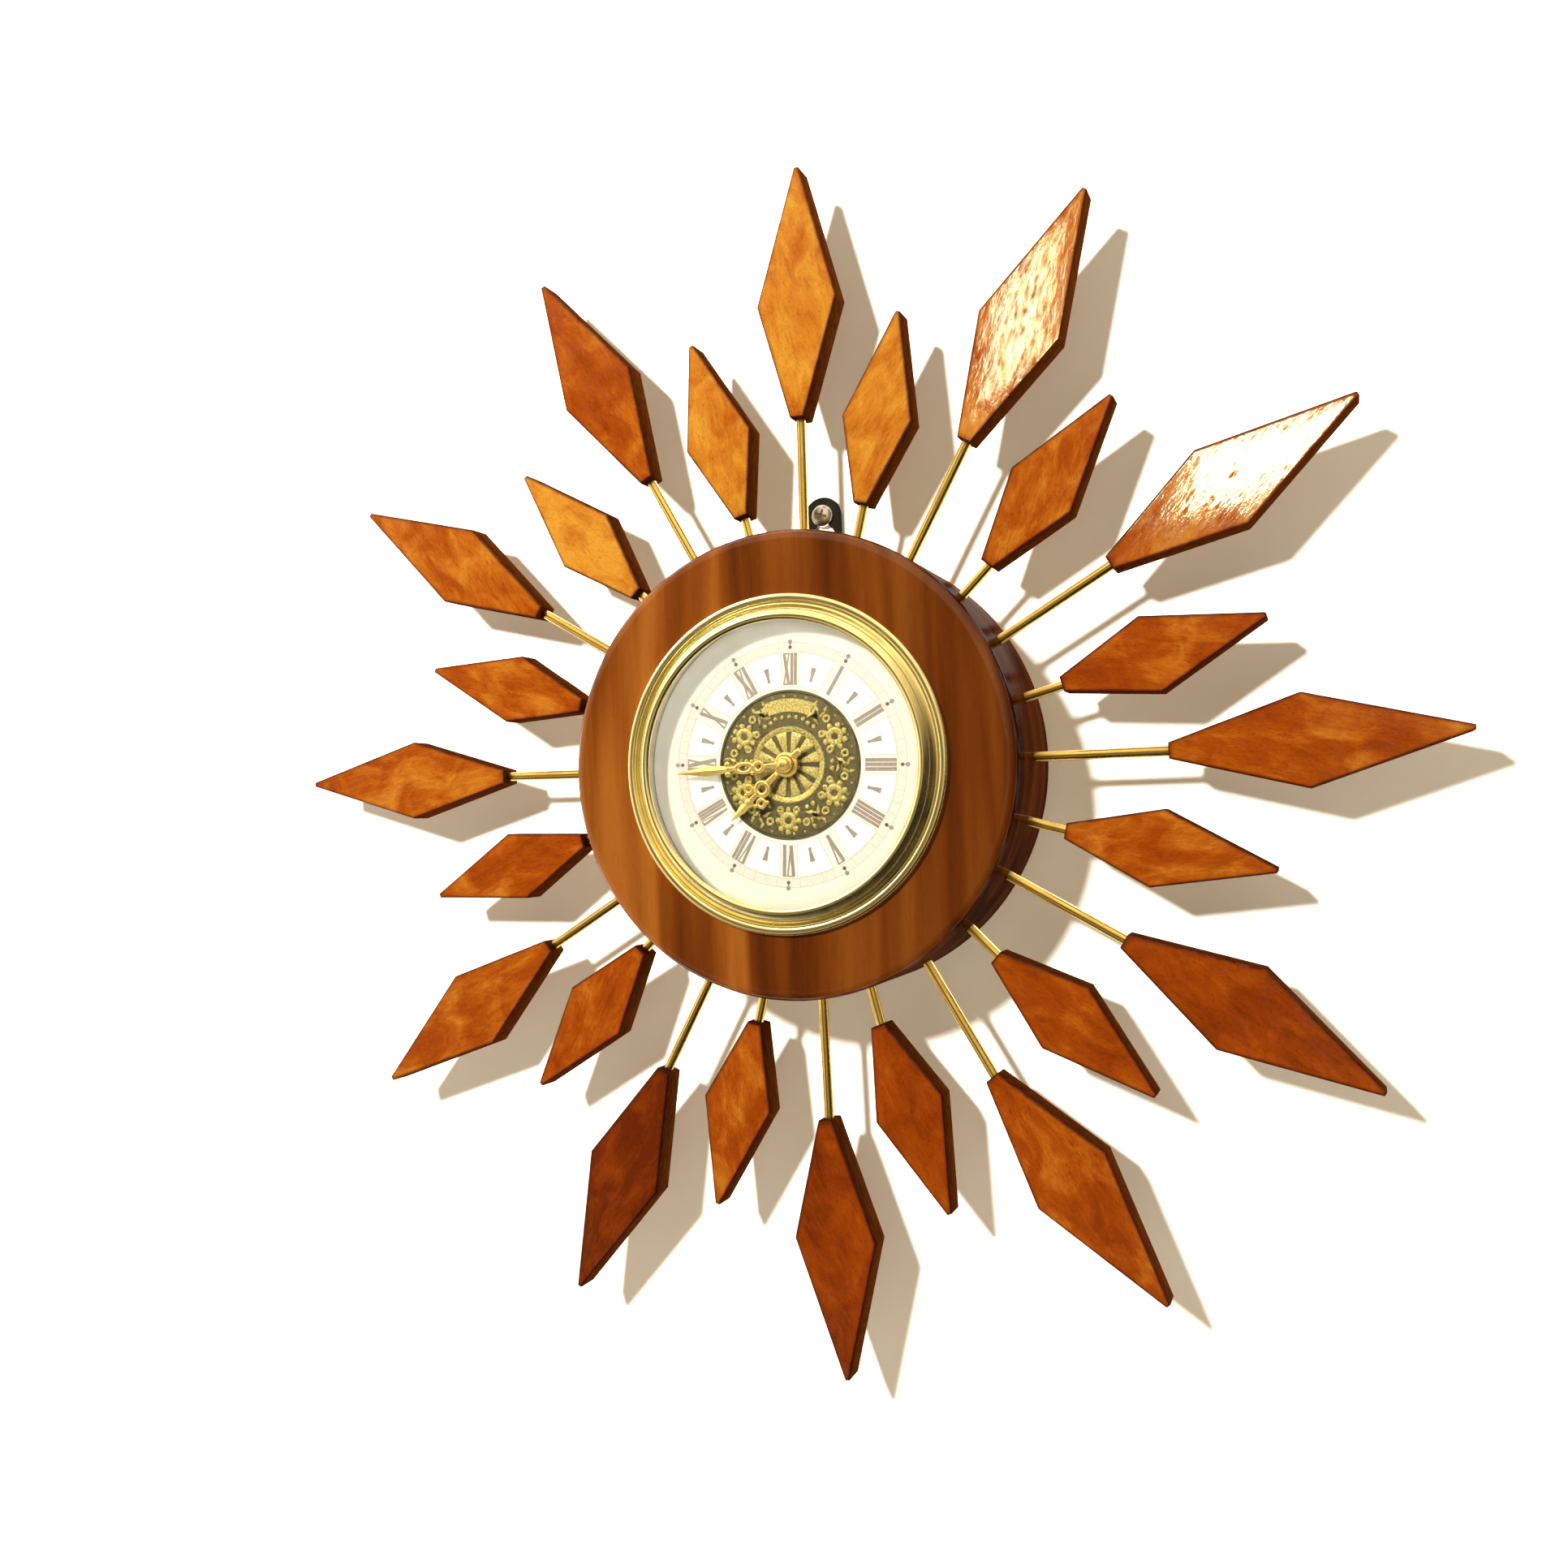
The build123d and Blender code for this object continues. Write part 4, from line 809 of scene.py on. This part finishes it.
def add_block(bm, angle, low, top):
    """A small square block with hollow sides and a leaf at each corner."""
    waist, ear = 2.0, 2.7
    outline = []
    for quarter in range(4):
        outline += swing([(ear, ear), (waist, 0.0)], -90 * quarter)
    outline = swing(shift(outline, 0.0, 18.7), angle)
    add_crowned(bm, outline, low, top, 0.5)
    add_bead(bm, polar(18.7, angle), 0.85, 0.4, low, top, 16)
    for side in (-1, 1):
        add_dome(bm, polar(15.0, angle + side * 4.5), 0.80, low, top - 0.06, 10)
        add_dome(bm, polar(21.6, angle + side * 5.2), 0.65, low, top - 0.06, 10)
        add_bead(bm, polar(19.6, angle + side * 11.0), 1.00, 0.50, low, top - 0.05, 14)


# ---- bezel ----
def bend(start, corner, end, steps=14):
    """A smooth curve between two points that heads for a corner on its way."""
    points = []
    for k in range(steps + 1):
        t = k / steps
        weights = ((1 - t) ** 2, 2 * t * (1 - t), t ** 2)
        points.append(tuple(
            sum(w * point[axis] for w, point in zip(weights, (start, corner, end))) for axis in range(2)
        ))
    return points


def make_bezel(material):
    """The rounded outer bead, the groove and the broad raised inner ring, turned smooth."""
    foot, crest = back_of("bezel"), front_of("bezel")
    rim = half_width("bezel")
    bead, groove, glass_seat = crest - 2.3, crest - 3.4, crest - 1.5
    bead_peak, bead_end, slope_foot, slope_top = rim - 1.5, rim - 3.1, rim - 4.2, rim - 7.1
    opening, glass_pocket, flange_pocket = rim - 8.8, rim - 5.2, rim - 1.6
    slope_start, slope_end = (slope_foot, groove + 0.6), (slope_top, crest - 0.1)
    profile = [(rim, foot)]
    profile += bend((rim, bead - 1.3), (rim, bead), (bead_peak, bead))
    profile += bend((bead_peak, bead), (rim - 2.7, bead), (bead_end, groove))[1:]
    profile += bend((bead_end, groove), (rim - 3.6, groove), slope_start)[1:]
    profile += bend(slope_start, (rim - 5.9, crest - 0.9), slope_end)[1:]
    profile += bend(slope_end, (rim - 8.3, crest), (opening, crest - 0.9))[1:]
    profile += [(opening, glass_seat), (glass_pocket, glass_seat), (glass_pocket, foot + 1.15)]
    profile += [(flange_pocket, foot + 0.5), (flange_pocket, foot)]
    bm = bmesh.new()
    add_lathe(bm, profile, steps=240)
    piece = stand_up(bm, "bezel_turned", "root", "polished_brass", material)
    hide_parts("bezel")


# ---- hands ----
CASTING_VOXEL = 0.09


def add_spear(bm, base_y, widest_y, tip_y, base_half, widest_half, low, high):
    """A blade with a sharp middle ridge and two sloping facets."""
    outline = [
        (base_half, base_y), (widest_half, widest_y), (0.12, tip_y),
        (-0.12, tip_y), (-widest_half, widest_y), (-base_half, base_y),
    ]
    middle = low + (high - low) * 0.35
    ridge = [(0.05, base_y), (0.05, widest_y), (0.02, tip_y - 0.4)]
    ridge += [(-x, y) for x, y in reversed(ridge)]
    rings = [[(x, y, low) for x, y in outline], [(x, y, middle) for x, y in outline]]
    rings.append([(x, y, high) for x, y in ridge])
    add_rings(bm, rings)


def make_hour_hand(material):
    node = "hour_hand"
    low, high = back_of(node), front_of(node)
    bm = bmesh.new()
    add_bead(bm, (0, 0), 3.1, 1.1, low, high, 40)
    add_crowned(bm, [(-0.9, -7.0), (0.9, -7.0), (1.5, -2.4), (-1.5, -2.4)], low, high, 0.5)
    add_dome(bm, (0, -5.8), 1.2, low, high)
    add_crowned(bm, [(-0.9, 3.2), (0.9, 3.2), (1.2, 9.6), (-1.2, 9.6)], low, high, 0.5)
    add_bead(bm, (0, 11.4), 2.05, 0.95, low, high, 32)
    for side in (-1, 1):
        add_bead(bm, (3.2 * side, 14.8), 1.25, 0.7, low, high, 24)
        add_dome(bm, (4.4 * side, 13.1), 0.8, low, high, 12)
        add_dome(bm, (2.4 * side, 17.0), 0.8, low, high, 12)
    add_crowned(bm, [(-0.8, 12.9), (0.8, 12.9), (0.9, 18.0), (-0.9, 18.0)], low, high, 0.5)
    add_dome(bm, (0, 18.0), 1.7, low, high)
    add_spear(bm, 17.8, 20.6, 26.7, 0.9, 1.5, low, high)
    cast_hand(bm, node, "hour_train", HOUR_ANGLE, material)


def make_minute_hand(material):
    node = "minute_hand"
    low, high = back_of(node), front_of(node)
    bm = bmesh.new()
    add_bead(bm, (0, 0), 1.95, 0.85, low, high, 32)
    add_crowned(bm, [(-0.9, 2.2), (0.9, 2.2), (0.7, 7.3), (-0.7, 7.3)], low, high, 0.5)
    add_bead(bm, (0, 8.9), 1.45, 0.75, low, high, 24)
    loop = bmesh.new()
    add_bead(loop, (0, 0), 1.45, 0.65, low, high, 32)
    loop.transform(Matrix.Translation((0, 14.0, 0)) @ Matrix.Diagonal((1.0, 1.95, 1.0, 1.0)))
    join_drawings(bm, loop)
    add_crowned(bm, [(-0.8, 16.8), (0.8, 16.8), (1.0, 21.0), (-1.0, 21.0)], low, high, 0.5)
    for side in (-1, 1):
        add_dome(bm, (1.6 * side, 19.9), 1.1, low, high, 14)
        add_dome(bm, (1.9 * side, 11.2), 0.75, low, high, 12)
    add_spear(bm, 19.8, 27.0, 38.5, 1.1, 1.8, low, high)
    cast_hand(bm, node, "minute_train", MINUTE_ANGLE, material)


def make_hand_nut(material):
    """The domed cap nut over the end of the minute shaft."""
    low, high, radius = back_of("hand_nut"), front_of("hand_nut"), half_width("hand_nut")
    bore, pole, cap = 1.1, 0.02, 0.4
    shoulder = low + 0.45
    profile = [(bore, low), (radius, low), (radius, shoulder)]
    profile += bend((radius, shoulder), (radius, high), (pole, high))[1:]
    profile += [(pole, high - cap), (bore, high - cap)]
    bm = bmesh.new()
    add_lathe(bm, profile, steps=48)
    piece = stand_up(bm, "hand_nut_domed", "minute_train", "hand_brass", material)
    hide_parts("hand_nut")


def join_drawings(bm, other):
    """Adds another drawing's mesh to a drawing."""
    mesh = bpy.data.meshes.new("joined")
    other.to_mesh(mesh)
    other.free()
    bm.from_mesh(mesh)
    bpy.data.meshes.remove(mesh)


def cast_hand(bm, node, body, angle, material):
    """Fuses a hand's parts into one casting with soft inner corners."""
    bm.transform(Matrix.Rotation(-math.radians(angle), 4, "Z"))
    piece = stand_up(bm, f"{node}_cast", body, "hand_brass", material, smooth=180.0)
    remesh = piece.modifiers.new("fuse", "REMESH")
    remesh.mode = "VOXEL"
    remesh.voxel_size = CASTING_VOXEL * MM
    relax = piece.modifiers.new("relax", "SMOOTH")
    relax.factor = 0.5
    relax.iterations = 3
    apply_modifiers(piece)
    piece.data.shade_smooth()
    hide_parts(node)


# ---- stage ----
STAGE_HALF = 4000.0
WALL_GAP = 0.05
FLOOR_DROP = 750.0
WALL_SCREW_UP = 89.3


def one_sided(name, colour, glow):
    """A stage surface that shows from its front and lets views from behind it through."""
    shader = Shader(name, Roughness=0.9, Specular_IOR_Level=0.1)
    shader.set("Emission Color", (1.0, 0.82, 0.56))
    shader.set("Emission Strength", glow)
    fine = shader.noise(shader.place(), 0.35, 3.0)
    shader.set("Base Color", shader.mix(fine, colour, tuple(c * 0.985 for c in colour)))
    shader.let_through(shader.node("NewGeometry").outputs["Backfacing"])
    return shader.material


def make_plane(name, points, outward, paint):
    """A flat square that faces outward."""
    bm = bmesh.new()
    bm.faces.new([bm.verts.new(point) for point in points])
    plane = stand_up(bm, name, None, None, paint)
    if plane.data.polygons[0].normal.dot(Vector(outward)) < 0:
        plane.data.flip_normals()
    return plane


def make_stage(screw_metal):
    corners = box_outline(-STAGE_HALF, -STAGE_HALF, STAGE_HALF, STAGE_HALF)
    wall_paint = one_sided("wall_paint", (0.86, 0.84, 0.80), 0.22)
    wall = make_plane("wall", [(x, y, -WALL_GAP) for x, y in corners], (0, -1, 0), wall_paint)
    floor_paint = one_sided("floor_paint", (0.46, 0.45, 0.44), 0.05)
    floor = make_plane("floor", [(x, -FLOOR_DROP, y) for x, y in corners], (0, 0, 1), floor_paint)
    floor.visible_glossy = False
    make_wall_screw(screw_metal)


def make_wall_screw(metal):
    """The pan-head screw in the wall that the hanger hangs on, with its cross recess."""
    bm = bmesh.new()
    shank, under, head, brim, dome = 1.9, 1.7, 3.9, 0.7, 1.6
    profile = [(shank, 0.0), (shank, under), (head, under), (head, under + brim)]
    for k in range(1, 10):
        turn = math.pi / 2 * k / 10
        profile.append((head * math.cos(turn), under + brim + dome * math.sin(turn)))
    profile += [(0.05, under + brim + dome), (0.05, 0.0)]
    add_lathe(bm, profile, (0.0, WALL_SCREW_UP), 48)
    screw = stand_up(bm, "wall_screw", None, None, metal)
    cross = bmesh.new()
    arm, half, turned = 2.1, 0.42, 20
    for quarter in range(2):
        bar = swing(box_outline(-arm, -half, arm, half), 90 * quarter + turned)
        add_prism(cross, shift(bar, 0.0, WALL_SCREW_UP), under + 0.8, under + 3.0)
    cutter = stand_up(cross, "recess", None, None)
    cut = screw.modifiers.new("recess", "BOOLEAN")
    cut.object = cutter
    cut.solver = "EXACT"
    cut.use_self = True
    apply_modifiers(screw)
    screw.data.set_sharp_from_angle(angle=math.radians(35))
    bpy.data.objects.remove(cutter)
    return screw


def make_camera():
    """The camera stands to the clock's right, level with it, and leans by a few degrees."""
    place = Vector((0.1680, -0.4771, -0.0208))
    aim = Vector((-0.0190, 0.0, -0.0047))
    lean = 2.05
    data = bpy.data.cameras.new("camera")
    data.lens = 32.9
    data.sensor_width = 36.0
    camera = bpy.data.objects.new("camera", data)
    bpy.context.scene.collection.objects.link(camera)
    turn = (aim - place).to_track_quat("-Z", "Y").to_matrix().to_4x4()
    camera.matrix_world = Matrix.Translation(place) @ turn @ Matrix.Rotation(math.radians(-lean), 4, "Z")
    bpy.context.scene.camera = camera


def make_light(name, kind, place, aim, energy, colour, **settings):
    data = bpy.data.lights.new(name, kind)
    data.energy = energy
    data.color = colour
    for key, value in settings.items():
        setattr(data, key, value)
    light = bpy.data.objects.new(name, data)
    bpy.context.scene.collection.objects.link(light)
    turn = (Vector(aim) - Vector(place)).to_track_quat("-Z", "Y").to_matrix().to_4x4()
    light.matrix_world = Matrix.Translation(place) @ turn
    return light


def light_only(light, *names):
    """Lets a light fall on the named pieces and on nothing else."""
    lit = bpy.data.collections.new(f"{light.name}_lit")
    for name in names:
        lit.objects.link(bpy.data.objects[name])
    light.light_linking.receiver_collection = lit


def make_lights(wall):
    """A warm lamp up on the left, two windows that glaze two diamonds, and three lesser lights."""
    origin, lamp_place, lamp_radius = (0, 0, 0), (-0.217, -0.889, 0.331), 0.05
    warm, plain, cream, lime = (1.0, 0.88, 0.68), (1.0, 0.98, 0.95), (1.0, 0.97, 0.86), (0.90, 1.0, 0.58)

    key = make_light("key", "POINT", lamp_place, origin, 38.0, warm, shadow_soft_size=lamp_radius)
    key.visible_glossy = False
    wash = make_light("wash", "POINT", lamp_place, origin, 80.0, plain, shadow_soft_size=lamp_radius)
    wash.visible_glossy = False
    light_only(wash, "wall")

    for name, x, z, width, height, power in (
        ("tall", -0.092, 0.450, 0.12, 0.20, 4.0), ("wide", 0.125, 0.298, 0.17, 0.12, 13.0)
    ):
        window = make_light(
            f"window_{name}", "AREA", (x, -0.889, z), (x, 0.0, z), power, lime,
            shape="RECTANGLE", size=width, size_y=height,
        )
        window.visible_diffuse = False
        light_only(window, "long_diamond_02_varnished", "long_diamond_03_varnished")

    fill = make_light(
        "dial_fill", "AREA", (0.32, -0.84, -0.06), origin, 5.0, (1.0, 0.96, 0.86), shape="DISK", size=0.5
    )
    fill.visible_glossy = False
    light_only(fill, "dial", "dial_pan", "dial_panels", "dial_borders", "dial_track_band")

    glint = make_light("glint", "AREA", (-0.75, -0.55, 0.75), origin, 16.0, cream, shape="DISK", size=0.7)
    glint.visible_diffuse = False
    hands = "hour_hand_cast", "minute_hand_cast", "hand_nut_domed"
    light_only(glint, "bezel_turned", "dial_centre_relief", *hands)

    back = make_light("back", "AREA", (0.9, 1.6, 1.1), origin, 28.0, plain, shape="DISK", size=1.2)
    blockers = bpy.data.collections.new("back_blockers")
    blockers.objects.link(wall)
    back.light_linking.blocker_collection = blockers
    blockers.collection_objects[0].light_linking.link_state = "EXCLUDE"


def make_world():
    """A soft room: brighter above and to the left, darker to the lower right and ahead of the dial."""
    world = bpy.data.worlds.new("room")
    world.use_nodes = True
    bpy.context.scene.world = world
    room = NodeTree(world.node_tree)
    direction = room.node("TexCoord").outputs["Generated"]

    def facing(x, y, z):
        """How far a ray heads a given way, from -1 to 1."""
        towards = Vector((x, y, z)).normalized()
        return room.node("VectorMath", direction, towards, operation="DOT_PRODUCT").outputs["Value"]

    colour = room.ramp(
        room.range(facing(-0.50, -0.35, 0.79), -1.0, 1.0, 0.0, 1.0),
        (0.37, (0.014, 0.010, 0.007)),
        (0.52, (0.21, 0.16, 0.10)),
        (0.80, (0.67, 0.53, 0.36)),
    )
    ahead = facing(-0.33, -0.94, 0.0)
    hollow = room.range(ahead, 0.86, 0.97, 1.0, 0.12, interpolation_type="SMOOTHSTEP")
    shaded = room.node("VectorMath", colour, operation="SCALE")
    room.fill(shaded.inputs["Scale"], hollow)

    # Reflections see the room brighter than it lights the clock; the camera sees a plain backdrop.
    path = room.node("LightPath")
    light = room.tree.nodes["Background"]
    room.fill(light.inputs["Color"], shaded.outputs["Vector"])
    room.fill(light.inputs["Strength"], room.math("MULTIPLY_ADD", path.outputs["Is Glossy Ray"], 1.9, 0.6))
    backdrop = room.node("Background", (0.82, 0.81, 0.79))
    mixed = room.node("MixShader", path.outputs["Is Camera Ray"], light.outputs[0], backdrop.outputs[0])
    room.fill(room.tree.nodes["World Output"].inputs["Surface"], mixed.outputs[0])


# ---- materials of the CAD pieces that stay ----
def paint_node(node, material):
    mesh = NODES[node].data
    mesh.materials.clear()
    mesh.materials.append(material)


def slot_of(node):
    rows = frame["record"]["subparts"]
    return next(row["material_slot"] for row in rows if row["node"] == node)


def make_slot_materials():
    """One material for each finish of the record that CAD pieces show."""
    metals = {  # light and dark colour, roughness, grain, tarnish, scratches
        "polished_brass": ((0.95, 0.86, 0.44), (0.66, 0.54, 0.20), 0.20, 0.6, 0.5, 0.0006),
        "zinc_steel": ((0.62, 0.63, 0.62), (0.36, 0.35, 0.31), 0.30, 2.0),
        "hand_brass": ((1.0, 0.79, 0.28), (0.76, 0.48, 0.11), 0.18, 3.0, 0.6),
        "soft_iron": ((0.50, 0.50, 0.52), (0.28, 0.25, 0.22), 0.34, 2.0),
        "contact_steel": ((0.72, 0.71, 0.68), (0.50, 0.48, 0.44), 0.18, 3.0),
    }
    skins = {  # light and dark colour, roughness, scale, relief, coat
        "black_steel": ((0.006, 0.006, 0.006), (0.018, 0.017, 0.015), 0.5, 3.0, 0.02),
        "pan_enamel": ((0.78, 0.74, 0.64), (0.66, 0.61, 0.50), 0.34, 1.0, 0.012, 0.3),
        "dial_card": ((0.80, 0.78, 0.76), (0.75, 0.72, 0.69), 0.48, 1.0, 0.006),
        "washer_rubber": ((0.018, 0.018, 0.018), (0.05, 0.05, 0.048), 0.8, 4.0, 0.02),
        "black_plastic": ((0.016, 0.016, 0.017), (0.03, 0.03, 0.031), 0.5, 2.0, 0.02),
        "ivory_plastic": ((0.78, 0.74, 0.64), (0.70, 0.65, 0.53), 0.36, 2.0, 0.008),
        "board_laminate": ((0.02, 0.12, 0.035), (0.035, 0.19, 0.05), 0.4, 5.0, 0.015, 0.4),
    }
    materials = {
        "drum_wood": drum_wood(),
        "teak": teak(),
        "clear_glass": window_glass(),
        "bronze_medallion": medallion_ground(),
        "copper_winding": winding(),
        "battery_jacket": battery_sleeve(),
    }
    for slot, look in metals.items():
        materials[slot] = worn_metal(slot, *look)
    for slot, look in skins.items():
        materials[slot] = mottled(slot, *look)
    return materials


def main():
    materials = make_slot_materials()
    for node in NODES:
        paint_node(node, materials[slot_of(node)])
    # Painted shade: the rods get a darker, deeper copy of the polished brass, dimming the bright wall they
    # reflect.
    rod_brass_painted_shade = worn_metal("rod_brass_painted_shade", (0.78, 0.58, 0.17), (0.42, 0.28, 0.06), 0.24, 0.6, scratches=0.0006)
    for node in ("long_rods", "short_rods"):
        paint_node(node, rod_brass_painted_shade)
    make_camera()
    make_diamonds(materials["teak"], teak_side_stain_and_shade())
    make_dial_print(
        mottled("panel_white", (0.95, 0.94, 0.92), (0.92, 0.90, 0.87), 0.35, 2.0, coat=0.3),
        mottled("numeral_grey", (0.33, 0.29, 0.28), (0.40, 0.35, 0.34), 0.5, 8.0),
        mottled("border_taupe", (0.52, 0.44, 0.42), (0.60, 0.53, 0.50), 0.5, 8.0),
        mottled("dot_dark", (0.08, 0.07, 0.07), (0.14, 0.12, 0.12), 0.5, 8.0),
        mottled("track_tint", (0.66, 0.62, 0.62), (0.72, 0.68, 0.67), 0.5, 8.0),
    )
    make_medallion(materials["bronze_medallion"], medallion_gilt())
    make_bezel(materials["polished_brass"])
    make_hour_hand(materials["hand_brass"])
    make_minute_hand(materials["hand_brass"])
    make_hand_nut(materials["hand_brass"])
    make_stage(materials["zinc_steel"])
    make_world()
    make_lights(bpy.data.objects["wall"])
    settings = bpy.context.scene.view_settings
    settings.view_transform = "Standard"
    settings.look = "None"


main()
